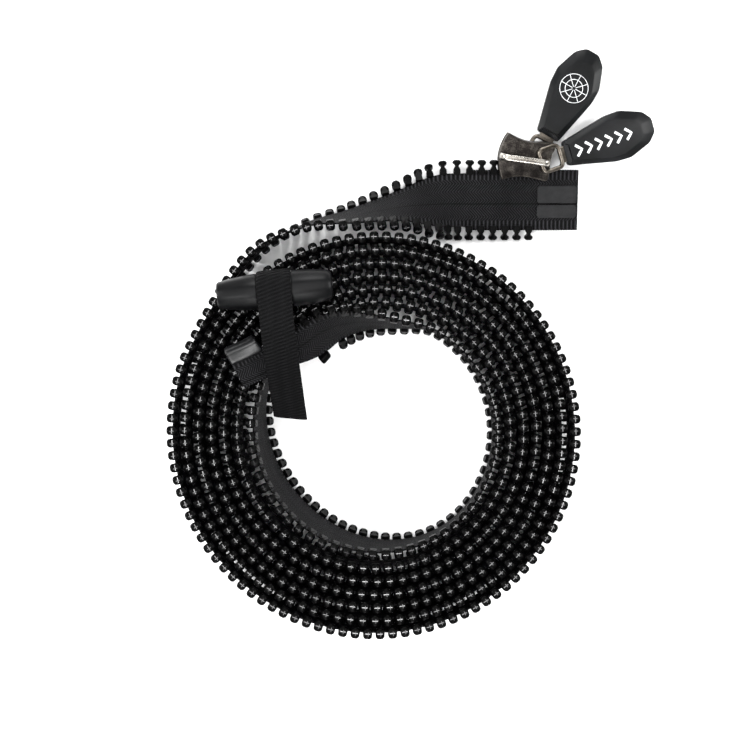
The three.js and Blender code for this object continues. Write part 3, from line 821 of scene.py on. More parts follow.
@dataclass
class ToothRow:
    """One edge's moulded teeth: legs on the cord, a narrow neck and a wide rounded head."""

    path: BandPath
    side: int
    inside: float = 9.6
    tip: float = 15.0
    half_thickness: float = 1.5
    head_swell: float = 0.4
    pitch: float = 4.5
    first_tail: float = 34.65
    ridge_height: float = 0.5
    ridge_drop: float = 0.35
    ridge_shift: float = 0.25
    ridge_bars: tuple = ((2.3, 0.42, False), (1.7, 0.3, True))

    def outline(self) -> Array:
        """The tooth seen on its face: half widths at some heights, mirrored about its middle.

        Returns:
            Array (points, 2) of u along the band and a across it, anticlockwise.
        """
        inside, tip = self.inside, self.tip
        right = np.array([
            (1.2, inside), (1.4, inside + 0.6), (1.3, inside + 2.0), (0.72, inside + 2.9),
            (0.85, tip - 1.8), (1.55, tip - 1.35), (1.68, tip - 0.8), (1.35, tip - 0.3), (0.6, tip),
        ])
        left = right[::-1] * (-1, 1)
        return np.vstack([right, left])

    def tooth(self) -> Shell:
        """One tooth: its outline given thickness, with the edges of both faces rounded.

        Returns:
            The shell in u, a and f.
        """
        outline = self.outline()
        head = np.clip((outline[:, 1] - self.tip + 2.2) / 0.9, 0, 1)[:, None]
        rings = []
        for level in (-1.0, -0.72, -0.28, 0.28, 0.72, 1.0):
            round_off = math.sqrt(1 - 0.66 * level**4)
            width = outline[:, :1] * (1 - (1 - round_off) * (0.25 + 0.75 * head))
            height = outline[:, 1:] - head * (1 - round_off) * 0.9
            depth = level * (self.half_thickness + self.head_swell * head)
            rings.append(np.column_stack([width, height, depth]))
        return tube(np.array(rings))

    def build(
        self, name: str, places: Array, finishes: Finishes, replaces: tuple[str, ...]
    ) -> bpy.types.Object:
        """Stands one tooth, and the low cross on its tip, at each place.

        Args:
            name: the piece's name.
            places: distances of the teeth.
            finishes: the finishes.
            replaces: the CAD nodes the row stands for.

        Returns:
            The row, one object.
        """
        self.copies(self.ridge(), places, f"{name}_ridges", finishes.ridge, (), 20.0)
        return self.copies(self.tooth(), places, name, finishes.teeth, replaces, 50.0)

    def copies(
        self, shape: Shell, places: Array, name: str, material: bpy.types.Material,
        replaces: tuple[str, ...], smooth_degrees: float,
    ) -> bpy.types.Object:
        """Stands a copy of a shape at each place: middle + u along + side times a across + f face.

        Args:
            shape: the shape in u, a and f.
            places: distances of the copies.
            name: the piece's name.
            material: its finish.
            replaces: the CAD nodes it stands for.
            smooth_degrees: edges sharper than this stay sharp.

        Returns:
            The copies, one object.
        """
        middle, _, across, face = self.path.at(places)
        along = np.cross(across, face)
        u, a, f = (shape.points[:, i][None, :, None] for i in range(3))
        points = middle[:, None] + u * along[:, None] + f * face[:, None]
        points = points + self.side * a * across[:, None]
        starts = np.arange(len(places)) * len(shape.points)
        faces = [[i + int(start) for i in face_points] for start in starts for face_points in shape.faces]
        shell = Shell(points.reshape(-1, 3), faces)
        return make_piece(name, shell, material, Body.COIL, replaces, smooth_degrees)

    def ridge(self) -> Shell:
        """A low cross on the tip: one rounded bar along the band, a shorter one across it.

        Returns:
            The shell in u, a and f.
        """
        bars = []
        for length, width, swap in self.ridge_bars:
            s = np.array([-0.5, -0.42, 0.42, 0.5]) * length
            drop = np.array([1.0, 0.0, 0.0, 1.0]) * self.ridge_drop
            right = np.array([(0.24, 0.3), (0.4, 0.2), (0.5, -0.5)])
            ring = np.vstack([right[::-1] * (-1, 1), right]) * (width, self.ridge_height)
            rings = np.zeros((4, 6, 3))
            rings[..., 2 if swap else 0] = s[:, None]
            rings[..., 0 if swap else 2] = ring[:, 0] + (self.ridge_shift if swap else 0.0)
            rings[..., 1] = self.tip - 0.02 + ring[:, 1] - drop[:, None]
            bars.append(tube(rings))
        return Shell.joined(bars)

    def places(self, start: float, end: float) -> Array:
        """Distances one pitch apart that keep step with the tail's first tooth."""
        first = self.path.at_tail(self.first_tail)
        low, high = math.ceil((start - first) / self.pitch), math.floor((end - first) / self.pitch)
        return first + self.pitch * np.arange(low, high + 1)


@dataclass
class EdgeCord:
    """The cord woven into one edge of the tape, wrapped with thread that stands up as ribs."""

    path: BandPath
    side: int
    middle: float = 10.65
    radius: float = 0.75
    rib_pitch: float = 0.95
    rib_depth: float = 0.1
    start: float = 33.3
    end: float = 75.3

    def build(self, name: str, finishes: Finishes, replaces: str) -> bpy.types.Object:
        """A round section whose radius rises and falls once every rib pitch.

        Args:
            name: the piece's name.
            finishes: the finishes.
            replaces: the CAD node it stands for.

        Returns:
            The cord.
        """
        where = self.path.at_tail(np.linspace(self.start, self.end, 265))
        rib = self.radius + self.rib_depth * (np.sin(2 * np.pi * where / self.rib_pitch) - 1) / 2
        turn = np.linspace(0, 2 * np.pi, 14, endpoint=False)
        ring = np.stack([np.cos(turn), np.sin(turn)], -1)
        sections = ring[None] * rib[:, None, None] + (self.side * self.middle, 0.0)
        shell = self.path.sweep(where, sections, uv=True)
        return make_piece(name, shell, finishes.tape, Body.COIL, (replaces,))


@dataclass
class Film:
    """A patch of clear film pressed on the tape: thin, cut a little askew, its face a little wavy."""

    path: BandPath
    start: float
    end: float
    low: float
    high: float
    back: float
    front: float
    skew: float = 0.35

    def build(self, name: str, finishes: Finishes, replaces: str) -> bpy.types.Object:
        """Sections whose edges wander by the skew and whose upper face ripples.

        Args:
            name: the piece's name.
            finishes: the finishes.
            replaces: the CAD node it stands for.

        Returns:
            The patch.
        """
        where = np.linspace(self.start, self.end, 40)
        t = np.linspace(0, 1, 10)[None, :]
        ease = np.minimum(np.arange(40), np.arange(40)[::-1])[:, None]
        corner = 0.7 * (ease == 0) + 0.25 * (ease == 1)
        low = self.low + corner + self.skew * 0.5 * (1 + np.sin(where / 2.3))[:, None] * 0.3
        high = self.high - corner - self.skew * 0.5 * (1 + np.sin(where / 3.1 + 2))[:, None] * 0.3
        a = low + (high - low) * t
        ripple = 0.02 * np.sin(where[:, None] / 0.9 + 5 * t) + 0.03 * np.sin(where[:, None] / 2.1 - 8 * t)
        thin = np.minimum(1.0, 9 * np.minimum(t, 1 - t) + 0.7)
        sign = 1 if abs(self.front) > abs(self.back) else -1
        top_level = self.front if sign > 0 else self.back
        base_level = self.back if sign > 0 else self.front
        top = base_level + (top_level - base_level) * thin + ripple * sign * 0.6
        base = np.full_like(a, base_level)
        sections = np.concatenate([np.stack([a, base], -1), np.stack([a, top], -1)[:, ::-1]], 1)
        shell = self.path.sweep(where, sections, uv=True)
        return make_piece(name, shell, finishes.film, Body.COIL, (replaces,), 50.0)


@dataclass
class BandBlock:
    """A moulded block fixed to the band: a rounded section that shrinks a little at each end."""

    path: BandPath
    start: float
    end: float
    low: float
    high: float
    back: float
    front: float
    rounding: float = 0.6
    power: float = 5.0

    def build(self, name: str, material: bpy.types.Material, slot: Slot, replaces: str) -> bpy.types.Object:
        """A superellipse section along the band, drawn in over the last rounding at both ends.

        Args:
            name: the piece's name.
            material: its finish.
            slot: not used.
            replaces: the CAD node it stands for.

        Returns:
            The block.
        """
        turn = np.linspace(0, np.pi / 2, 6)
        draw = self.rounding * (1 - np.sin(turn))
        ease = self.rounding * (1 - np.cos(turn))
        middle = np.linspace(self.start + self.rounding, self.end - self.rounding, 16)
        where = np.concatenate([self.start + ease[:-1], middle, (self.end - ease[:-1])[::-1]])
        inset = np.concatenate([draw[:-1], np.zeros(16), draw[:-1][::-1]])
        half_a, half_f = (self.high - self.low) / 2, (self.front - self.back) / 2
        ring = superellipse(1.0, 1.0, self.power, 32)
        size = np.stack([half_a - inset, half_f - inset], -1)
        centre = ((self.high + self.low) / 2, (self.front + self.back) / 2)
        sections = ring[None] * size[:, None] + centre
        shell = self.path.sweep(where, sections)
        return make_piece(name, shell, material, Body.COIL, (replaces,), 40.0)


# ---------------------------------------------------------------------------------------------
# pieces with frames of their own


@dataclass
class Local:
    """A frame of its own: local points become origin + axes times the point."""

    origin: Array
    axes: Array

    def put(self, shell: Shell) -> Shell:
        """Moves a shell from this frame to the object's frame."""
        return Shell(shell.points @ self.axes.T + self.origin, shell.faces, shell.uv)

    def child(self, origin: Array, axes: Array) -> "Local":
        """A frame given inside this one."""
        return Local(self.origin + self.axes @ origin, self.axes @ axes)


def about_y(degrees: float) -> Array:
    """Rotation about y."""
    c, s = math.cos(math.radians(degrees)), math.sin(math.radians(degrees))
    return np.array([[c, 0, s], [0, 1, 0], [-s, 0, c]])


def about_z(degrees: float) -> Array:
    """Rotation about z."""
    c, s = math.cos(math.radians(degrees)), math.sin(math.radians(degrees))
    return np.array([[c, -s, 0], [s, c, 0], [0, 0, 1]])


def offset_outline(outline: Array, inset: float) -> Array:
    """An outline drawn in: each point moves along the mean of its two sides' normals.

    Args:
        outline: array (points, 2), anticlockwise.
        inset: how far each side moves in.

    Returns:
        The new outline.
    """
    before, after = np.roll(outline, 1, 0), np.roll(outline, -1, 0)
    side_in, side_out = unit(outline - before), unit(after - outline)
    normal_in = np.stack([-side_in[:, 1], side_in[:, 0]], -1)
    normal_out = np.stack([-side_out[:, 1], side_out[:, 0]], -1)
    mean = normal_in + normal_out
    share = np.maximum((mean * normal_in).sum(-1, keepdims=True), 0.6)
    return outline + mean / share * inset


def rounded_outline(points: Array, radius: float, steps: int = 5) -> Array:
    """An outline with its corners rounded: each corner becomes a quadratic curve between its sides.

    Args:
        points: corners, anticlockwise.
        radius: how far from the corner the curve starts, at most 0.45 of a side.
        steps: points on each corner.

    Returns:
        Array (corners * steps, 2).
    """
    before, after = np.roll(points, 1, 0) - points, np.roll(points, -1, 0) - points
    reach_before = np.minimum(radius, 0.45 * np.linalg.norm(before, axis=1))[:, None]
    reach_after = np.minimum(radius, 0.45 * np.linalg.norm(after, axis=1))[:, None]
    start, end = points + unit(before) * reach_before, points + unit(after) * reach_after
    t = np.linspace(0, 1, steps)[None, :, None]
    curve = (1 - t) ** 2 * start[:, None] + 2 * t * (1 - t) * points[:, None] + t**2 * end[:, None]
    return curve.reshape(-1, 2)


def rounded_slab(outline: Array, low: float, high: float, rounding: float, steps: int = 4) -> Shell:
    """An outline given thickness with round edges: insets r(1 - sin) at heights r(1 - cos) from each face.

    Args:
        outline: array (points, 2), anticlockwise.
        low: lower face.
        high: upper face.
        rounding: edge radius.
        steps: rings on each edge.

    Returns:
        The closed shell.
    """
    turn = np.linspace(0, np.pi / 2, steps)
    rings = []
    for base, sign in ((low, 1), (high, -1)):
        group = []
        for angle in turn:
            ring = offset_outline(outline, rounding * (1 - math.sin(angle)))
            level = base + sign * rounding * (1 - math.cos(angle))
            group.append(np.column_stack([ring, np.full(len(ring), level)]))
        rings.extend(group if sign > 0 else group[::-1])
    return tube(np.array(rings))


def bent_bar(line: Array, sections: Array, side: Array) -> Shell:
    """A bar along a line in a plane: each section's x goes along side and y across the line.

    Args:
        line: array (count, 3).
        sections: array (count, points, 2).
        side: unit vector square to the plane.

    Returns:
        The closed shell.
    """
    tangent = unit(np.gradient(line, axis=0))
    normal = np.cross(side, tangent)
    rings = line[:, None] + sections[..., :1] * side + sections[..., 1:] * normal[:, None]
    return tube(rings)


@dataclass
class Slider:
    """The cast slider: two plates with turned-in lips, joined by a post between two mouths."""

    length: float = 19.5
    plate: float = 1.6
    lip: float = 0.9
    channel_front: float = 8.0
    channel_waist: float = 6.7
    channel_rear: float = 6.3
    channel_height: float = 4.0
    slot_height: float = 1.9
    rounding: float = 0.55

    def half_width(self, x: Array) -> Array:
        """Half the plate's width along it: wide at the front, a waist at the middle, straight behind."""
        channel = (self.channel_front, self.channel_waist, self.channel_rear)
        front, waist, rear = (half + self.lip for half in channel)
        start, end = -self.length / 2 + 1.2, self.length / 2 - 1.0
        knots = np.array([start, start + 1.4, start + 3.0, -3.4, -0.5, 3.5, 6.5, end])
        values = np.array([front, front - 0.15, front - 0.9, waist - 0.35, waist - 1.05, waist - 1.0,
                           rear - 0.2, rear])
        return np.interp(x, knots, values)

    def smooth_half_width(self, x: Array) -> Array:
        """The half width with its corners eased: the mean of five neighbours."""
        return np.convolve(np.pad(self.half_width(x), 2, mode="edge"), np.ones(5) / 5, mode="valid")

    def outline(self) -> Array:
        """The plate's outline: convex front, waisted sides, rear with round corners."""
        front, rear = -self.length / 2, self.length / 2
        x = np.linspace(front + 2.3, rear - 1.2, 26)
        smooth = self.smooth_half_width(x)
        corner = np.array([(rear - 0.5, smooth[-1] - 0.25), (rear - 0.12, smooth[-1] - 0.8),
                           (rear, smooth[-1] - 1.6)])
        right = np.vstack([np.column_stack([x, -smooth]), corner * (1, -1)])
        left = right[::-1] * (1, -1)
        bow = np.linspace(1, -1, 13)[1:-1]
        nose = np.column_stack([front + 2.1 * bow**2, bow * (smooth[0] - 0.1)])
        return np.vstack([right, left, nose])

    def body(self, finishes: Finishes, place: Local) -> bpy.types.Object:
        """Both plates, their lips and the post.

        Args:
            finishes: the finishes.
            place: the slider's frame.

        Returns:
            The body.
        """
        outline = self.outline()
        inner, outer = self.channel_height / 2, self.channel_height / 2 + self.plate
        shells = [rounded_slab(outline, inner, outer, self.rounding),
                  rounded_slab(outline, -outer, -inner, self.rounding)]
        for top in (1, -1):
            for side in (1, -1):
                shells.append(self.flange(side, top))
        post = rounded_outline(np.array([(-9.1, -1.3), (-1.6, -0.35), (-1.6, 0.35), (-9.1, 1.3)]), 0.6)
        shells.append(rounded_slab(post, -inner - 0.3, inner + 0.3, 0.1))
        shell = place.put(Shell.joined(shells))
        return make_piece("slider_casting", shell, finishes.casting, Body.SLIDER,
                          ("slider_body",), 38.0)

    def flange(self, side: int, top: int) -> Shell:
        """One lip: a bar along the edge of a plate, from the plate down to the tape's slot.

        Args:
            side: 1 for the left edge, -1 for the right.
            top: 1 for the upper plate, -1 for the lower.

        Returns:
            The shell.
        """
        x = np.linspace(-self.length / 2 + 2.7, self.length / 2 - 0.7, 24)
        edge = self.smooth_half_width(x)
        line = np.column_stack([x, side * (edge - self.lip / 2 - 0.05), np.zeros_like(x)])
        low, high = self.slot_height / 2, self.channel_height / 2 + 0.4
        ring = superellipse(self.lip / 2, (high - low) / 2, 4.0, 16)
        rings = np.zeros((len(x), 16, 3))
        rings[:] = line[:, None]
        rings[..., 1] += ring[:, 0]
        rings[..., 2] += top * ((high + low) / 2 + ring[:, 1])
        return tube(rings)


@dataclass
class Bridge:
    """The raised bar that holds a pull: two feet, and a bow whose section is flat and rounded."""

    length: float
    height: float = 4.4
    bar: float = 1.5
    width: float = 2.4
    foot: float = 1.4

    def build(self, name: str, finishes: Finishes, place: Local, replaces: str) -> bpy.types.Object:
        """Sweeps a rounded section up one foot, over and down the other.

        Args:
            name: the piece's name.
            finishes: the finishes.
            place: the frame, z away from the slider, x along the bridge.
            replaces: the CAD node.

        Returns:
            The bridge.
        """
        reach = self.length / 2 - self.foot / 2
        top = self.height - self.bar / 2
        corners = np.array([
            (-reach, 0.0), (-reach + 0.15, top * 0.55), (-reach + 1.1, top - 0.25), (-reach + 3.2, top),
            (0.0, top + 0.03), (reach - 3.2, top), (reach - 1.1, top - 0.25),
            (reach - 0.15, top * 0.55), (reach, 0.0),
        ])
        flat = smooth_line(corners, 6)
        line = np.column_stack([flat[:, 0], np.zeros(len(flat)), flat[:, 1]])
        swell = 1 + 0.22 * (1 - np.clip(flat[:, 1] / top, 0, 1))
        ring = superellipse(self.width / 2, self.bar / 2, 2.6, 20)
        sections = ring[None] * np.stack([swell, np.ones_like(swell)], -1)[:, None]
        shell = place.put(bent_bar(line, sections, np.array([0.0, 1.0, 0.0])))
        return make_piece(name, shell, finishes.bright, Body.SLIDER, (replaces,), 45.0)


@dataclass
class Pull:
    """One pull: a metal ring with its crossbar at x = 0, a tang, and a moulded grip round the tang."""

    bar: float = 1.6
    half_opening: float = 3.4
    opening_end: float = 7.0
    link_thickness: float = 1.8
    tang_half: float = 3.0
    grip_start: float = 9.4
    grip_length: float = 36.0
    grip_half: float = 9.0
    grip_thickness: float = 4.6
    tip_cut: float = 0.045

    def link(
        self, name: str, finishes: Finishes, place: Local, body: Body, replaces: str
    ) -> bpy.types.Object:
        """The ring as a closed loop of round bar, and the tang as a slab with round edges.

        Args:
            name: the piece's name.
            finishes: the finishes.
            place: the pull's frame.
            body: the body it rides on.
            replaces: the CAD node.

        Returns:
            The link.
        """
        half = self.half_opening + self.bar / 2
        end = self.opening_end + self.bar / 2
        corners = np.array([(0.0, -half), (end, -half), (end, half), (0.0, half)])
        line = rounded_outline(corners, 2.0, 9)
        gap = np.linalg.norm(np.roll(line, -1, 0) - line, axis=1)
        distance = np.concatenate([[0], np.cumsum(gap)])
        loop = np.vstack([line, line[:1]])
        even = np.linspace(0, distance[-1], 80, endpoint=False)
        line = np.stack([np.interp(even, distance, loop[:, i]) for i in range(2)], -1)
        tangent = unit(np.roll(line, -1, 0) - np.roll(line, 1, 0))
        normal = np.stack([-tangent[:, 1], tangent[:, 0]], -1)
        ring = superellipse(self.bar / 2, self.link_thickness / 2, 2.8, 16)
        rings = np.zeros((80, 16, 3))
        rings[..., :2] = line[:, None] + ring[None, :, :1] * normal[:, None]
        rings[..., 2] = ring[:, 1]
        loop_shell = tube(rings, closed=True)
        tang = np.array([(end - 0.3, -self.tang_half), (self.grip_start + 4.9, -self.tang_half),
                         (self.grip_start + 4.9, self.tang_half), (end - 0.3, self.tang_half)])
        slab = rounded_slab(rounded_outline(tang, 0.7), -self.link_thickness / 2 + 0.05,
                            self.link_thickness / 2 - 0.05, 0.35)
        shell = place.put(Shell.joined([loop_shell, slab]))
        return make_piece(name, shell, finishes.link, body, (replaces,), 45.0)

    def grip_outline(self) -> Array:
        """The grip from above: narrow at the link, widest two fifths along, tapering to a cut point."""
        start, end, half = self.grip_start, self.grip_start + self.grip_length, self.grip_half
        corners = np.array([
            (start, -4.5), (start + 18.5, -half + 0.2), (start + 24.5, -half), (start + 32.8, -half + 3.0),
            (end - 0.2, -2.6), (end - 0.2, 2.6), (start + 32.8, half - 3.0), (start + 24.5, half),
            (start + 18.5, half - 0.2), (start, 4.5),
        ])
        return rounded_outline(corners, 0.9, 3)

    def grip(
        self, name: str, finishes: Finishes, place: Local, body: Body, replaces: str
    ) -> bpy.types.Object:
        """Stacked insets of the outline: an upright edge, a broad bevel, and a flat face.

        Args:
            name: the piece's name.
            finishes: the finishes.
            place: the pull's frame.
            body: the body it rides on.
            replaces: the CAD node.

        Returns:
            The grip.
        """
        outline = self.grip_outline()
        half = self.grip_thickness / 2
        edge = [(0.0, 0.3), (0.05, 0.42), (0.2, 0.5), (1.9, 0.96), (2.15, 1.0)]
        levels = [(inset, -half * share) for inset, share in edge[::-1]]
        levels += [(inset, half * share) for inset, share in edge]
        rings = []
        for inset, level in levels:
            ring = offset_outline(outline, inset)
            ring[:, 0] = self.grip_start + (ring[:, 0] - self.grip_start) * (1.0 - self.tip_cut * inset)
            rings.append(np.column_stack([ring, np.full(len(ring), level)]))
        shell = place.put(tube(np.array(rings)))
        return make_piece(name, shell, finishes.rubber, body, (replaces,), 14.0)


@dataclass
class Mark:
    """A generic print on a grip: strokes of ink standing a hair above the face."""

    thickness: float = 0.05
    level: float = 2.3

    def stroke(self, points: Array, width: float) -> Shell:
        """A flat line of ink: the path's left and right edges half a width away, given thickness.

        Args:
            points: array (count, 2).
            width: the stroke's width.

        Returns:
            The shell.
        """
        tangent = unit(np.gradient(points, axis=0))
        normal = np.stack([-tangent[:, 1], tangent[:, 0]], -1) * width / 2
        low, high = self.level - 0.05, self.level + self.thickness
        rings = np.stack([
            np.column_stack([points - normal, np.full(len(points), low)]),
            np.column_stack([points + normal, np.full(len(points), low)]),
            np.column_stack([points + normal, np.full(len(points), high)]),
            np.column_stack([points - normal, np.full(len(points), high)]),
        ], 1)
        return tube(rings)

    def chevrons(
        self, start: float, count: int, step: float, half: float, lean: float, width: float
    ) -> list[Shell]:
        """A row of arrowheads that point along the grip.

        Args:
            start: x of the first.
            count: how many.
            step: distance between them.
            half: half height of each.
            lean: how far its point goes ahead.
            width: stroke width.

        Returns:
            The shells.
        """
        shells = []
        for i in range(count):
            x = start + i * step
            points = np.array([(x, -half), (x + lean * 0.5, -half * 0.5), (x + lean, 0.0),
                               (x + lean * 0.5, half * 0.5), (x, half)])
            shells.append(self.stroke(points, width))
        return shells

    def rosette(self, centre: tuple[float, float], radius: float, spokes: int, width: float) -> list[Shell]:
        """Two rings with spokes between them, drawn in thin line.

        Args:
            centre: its middle.
            radius: the outer ring's radius.
            spokes: number of spokes.
            width: stroke width.

        Returns:
            The shells.
        """
        middle = np.array(centre)
        turn = np.linspace(0, 2 * np.pi, 73)
        circle = np.stack([np.cos(turn), np.sin(turn)], -1)
        shells = [self.stroke(circle * (radius * share) + middle, width) for share in (1.0, 0.62)]
        for angle in np.linspace(0, 2 * np.pi, spokes, endpoint=False):
            way = np.array([math.cos(angle), math.sin(angle)])
            shells.append(self.stroke(middle + way * np.linspace(0.12, 0.96, 5)[:, None] * radius, width))
        return shells

    def build(
        self, name: str, shells: list[Shell], finishes: Finishes, place: Local, body: Body
    ) -> bpy.types.Object:
        """Makes the print one piece on its grip.

        Args:
            name: the piece's name.
            shells: its strokes.
            finishes: the finishes.
            place: the pull's frame.
            body: the body it rides on.

        Returns:
            The print.
        """
        shell = place.put(Shell.joined(shells))
        return make_piece(name, shell, finishes.ink, body, (), 30.0)


@dataclass
class Toggle:
    """The barrel: widest beside the strap, tapering to both ends, turned down where the strap goes."""

    length: float = 41.0
    radius: float = 6.5
    groove_radius: float = 5.5
    groove_half: float = 6.3

    def build(self, finishes: Finishes, place: Local) -> bpy.types.Object:
        """Turns a profile of radius against distance about the x axis.

        Args:
            finishes: the finishes.
            place: the barrel's frame.

        Returns:
            The barrel.
        """
        half, groove = self.length / 2, self.groove_half
        profile = np.array([
            (-half, 3.2), (-half, 3.95), (-half + 0.08, 4.3), (-half + 0.35, 4.6), (-half + 0.8, 4.78),
            (-half + 4, 5.35), (-groove - 4.5, 6.1), (-groove - 0.5, 6.45), (-groove - 0.12, 6.38),
            (-groove, 6.2), (-groove, self.groove_radius), (groove, self.groove_radius), (groove, 6.2),
            (groove + 0.12, 6.38), (groove + 0.5, 6.45), (half - 7, 6.15), (half - 3, 5.6),
            (half - 1.4, 5.25), (half - 0.5, 4.8), (half - 0.1, 4.4), (half, 3.9), (half, 3.2),
        ])
        turn = np.linspace(0, 2 * np.pi, 72, endpoint=False)
        facet = 1 + 0.006 * np.cos(turn * 10)
        rings = np.zeros((len(profile), 72, 3))
        rings[..., 0] = profile[:, :1]
        rings[..., 1] = profile[:, 1:] * facet * np.cos(turn)
        rings[..., 2] = profile[:, 1:] * facet * np.sin(turn)
        shell = place.put(tube(rings))
        return make_piece("toggle", shell, finishes.barrel, Body.TOGGLE,
                          ("toggle_barrel",), 40.0)


@dataclass
class Strap:
    """The webbing: round the toggle's waist, over the inner end of the tape and down into the eye."""

    width: float = 12.0
    thickness: float = 1.5
    radius: float = 6.55
    drop: tuple = ((-11.0, 7.4), (-17.0, 5.6), (-25.0, 0.8), (-32.0, -5.5), (-40.0, -13.0), (-46.0, -19.0))

    def line(self) -> Array:
        """The middle line in the plane across the toggle: an arc, then a smooth drop."""
        turn = np.radians(np.arange(-150, 86, 19.5))
        arc = np.stack([np.cos(turn), np.sin(turn)], -1) * self.radius
        return smooth_line(np.vstack([arc, self.drop]), 8)

    def build(self, finishes: Finishes, place: Local) -> list[bpy.types.Object]:
        """Sweeps a ribbon whose edges are round, whose ribs stand up, and whose end is cut aslant.

        Args:
            finishes: the finishes.
            place: the toggle's frame.

        Returns:
            The strap and its stitching.
        """
        line = self.line()
        gaps = np.linalg.norm(np.diff(line, axis=0), axis=1)
        distance = np.concatenate([[0], np.cumsum(gaps)])
        where = np.linspace(0, distance[-1], 340)
        flat = np.stack([np.interp(where, distance, line[:, i]) for i in range(2)], -1)
        tangent = unit(np.gradient(flat, axis=0))
        normal = np.stack([-tangent[:, 1], tangent[:, 0]], -1)
        columns = 16
        t = np.linspace(-1, 1, columns)
        half = self.thickness / 2 - 0.08
        rib = 0.08 * np.sin(2 * np.pi * where / 1.35)[:, None] * np.ones(columns)
        edge = (1 - 0.55 * np.abs(t) ** 10)[None, :]
        x = np.broadcast_to(t * self.width / 2, (340, columns))
        upper, lower = (half + rib) * edge, -(half + rib) * edge
        slant = np.clip((where - distance[-1] + 6) / 6, 0, 1)[:, None] * t[None, :] * 1.8

        def surface(level: Array) -> Array:
            """The points at a level above the ribbon's middle surface."""
            points = np.zeros((340, columns, 3))
            points[..., 0] = x
            points[..., 1] = flat[:, :1] + normal[:, :1] * level + tangent[:, :1] * slant
            points[..., 2] = flat[:, 1:] + normal[:, 1:] * level + tangent[:, 1:] * slant
            return points

        rings = np.concatenate([surface(upper), surface(lower)[:, ::-1]], 1)
        across = np.concatenate([x, x[:, ::-1]], 1)
        along = np.broadcast_to(where[:, None], across.shape)
        shell = place.put(tube(rings, uv=np.stack([across, along], -1) * MM))
        strap = make_piece("strap_webbing", shell, finishes.webbing, Body.COIL,
                           ("webbing_strap",), 50.0)
        stitches = self.stitches(flat, normal, where, finishes, place)
        return [strap, stitches]

    def stitches(
        self, flat: Array, normal: Array, where: Array, finishes: Finishes, place: Local
    ) -> bpy.types.Object:
        """A bar tack across the strap where its end is sewn back: a close row of short raised threads.

        Args:
            flat: the middle line.
            normal: its normals.
            where: distances along it.
            finishes: the finishes.
            place: the toggle's frame.

        Returns:
            The stitching.
        """
        shells = []
        ring = superellipse(0.2, 0.16, 2.0, 6)
        for row, spot in enumerate((33.0, 34.6)):
            k = int(np.searchsorted(where, spot))
            tangent = unit(flat[k + 1] - flat[k - 1])
            for x in np.arange(-5.0, 5.1, 0.5):
                s = np.linspace(-0.75, 0.75, 7)
                lift = self.thickness / 2 + 0.12 * (1 - (s / 0.75) ** 2)
                points = flat[k] + tangent * s[:, None] + normal[k] * lift[:, None]
                line = np.column_stack([x + 0.12 * (-1) ** row * s, points])
                shells.append(bent_bar(line, np.broadcast_to(ring, (7, 6, 2)), np.array([1.0, 0.0, 0.0])))
        shell = place.put(Shell.joined(shells))
        return make_piece("strap_stitching", shell, finishes.thread, Body.COIL, (), 60.0)


# ---------------------------------------------------------------------------------------------
# the whole zipper


@dataclass
class Studio:
    """A pale floor, soft lights on four sides and overhead, and a small key light."""

    floor_size: float = 3.0
    camera_height: float = 0.6
    camera_x: float = -0.01509
    camera_y: float = -0.01402
    lens: float = 76.0
    world_strength: float = 0.2
    lamps: tuple = (
        ("left soft light", (-1.3, 0.2, 0.9), 0.5, 24.0),
        ("right soft light", (1.3, 0.1, 0.9), 0.5, 22.0),
        ("back soft light", (0.0, 1.3, 0.8), 0.5, 19.0),
        ("front soft light", (0.0, -1.3, 0.9), 0.5, 16.0),
        ("key light", (-0.3, -0.35, 0.8), 0.1, 4.0),
        ("overhead soft light", (0.0, 0.0, 0.75), 0.5, 4.0),
    )

    def floor(self) -> bpy.types.Object:
        """A flat plane under the object."""
        half = self.floor_size / 2
        mesh = bpy.data.meshes.new("floor")
        corners = [(-half, -half, 0), (half, -half, 0), (half, half, 0), (-half, half, 0)]
        mesh.from_pydata(corners, [], [(0, 1, 2, 3)])
        material = bpy.data.materials.new("Plain pale floor")
        material.use_nodes = True
        shader = material.node_tree.nodes["Principled BSDF"]
        shader.inputs["Base Color"].default_value = srgb("fafafa")
        shader.inputs["Roughness"].default_value = 0.9
        mesh.materials.append(material)
        floor = bpy.data.objects.new("floor", mesh)
        bpy.context.scene.collection.objects.link(floor)
        return floor

    def lamp(self, name: str, place: tuple, target: tuple, size: float, power: float) -> None:
        """One square area light aimed at a point.

        Args:
            name: its name.
            place: where it is, in metres.
            target: what it looks at.
            size: side of the square.
            power: watts.
        """
        data = bpy.data.lights.new(name, "AREA")
        data.size = size
        data.energy = power
        lamp = bpy.data.objects.new(name, data)
        lamp.location = place
        lamp.rotation_euler = (Vector(target) - Vector(place)).to_track_quat("-Z", "Y").to_euler()
        bpy.context.scene.collection.objects.link(lamp)

    def build(self) -> None:
        """Makes the floor, the lights, the world and the camera."""
        self.floor()
        for name, place, size, power in self.lamps:
            self.lamp(name, place, (0.0, 0.0, 0.0), size, power)
        world = bpy.data.worlds.new("studio")
        world.use_nodes = True
        world.node_tree.nodes["Background"].inputs["Color"].default_value = srgb("ffffff")
        world.node_tree.nodes["Background"].inputs["Strength"].default_value = self.world_strength
        bpy.context.scene.world = world
        bpy.context.scene.view_settings.view_transform = "Standard"
        data = bpy.data.cameras.new("camera")
        data.lens = self.lens
        camera = bpy.data.objects.new("camera", data)
        camera.location = (self.camera_x, self.camera_y, self.camera_height)
        bpy.context.scene.collection.objects.link(camera)
        bpy.context.scene.camera = camera


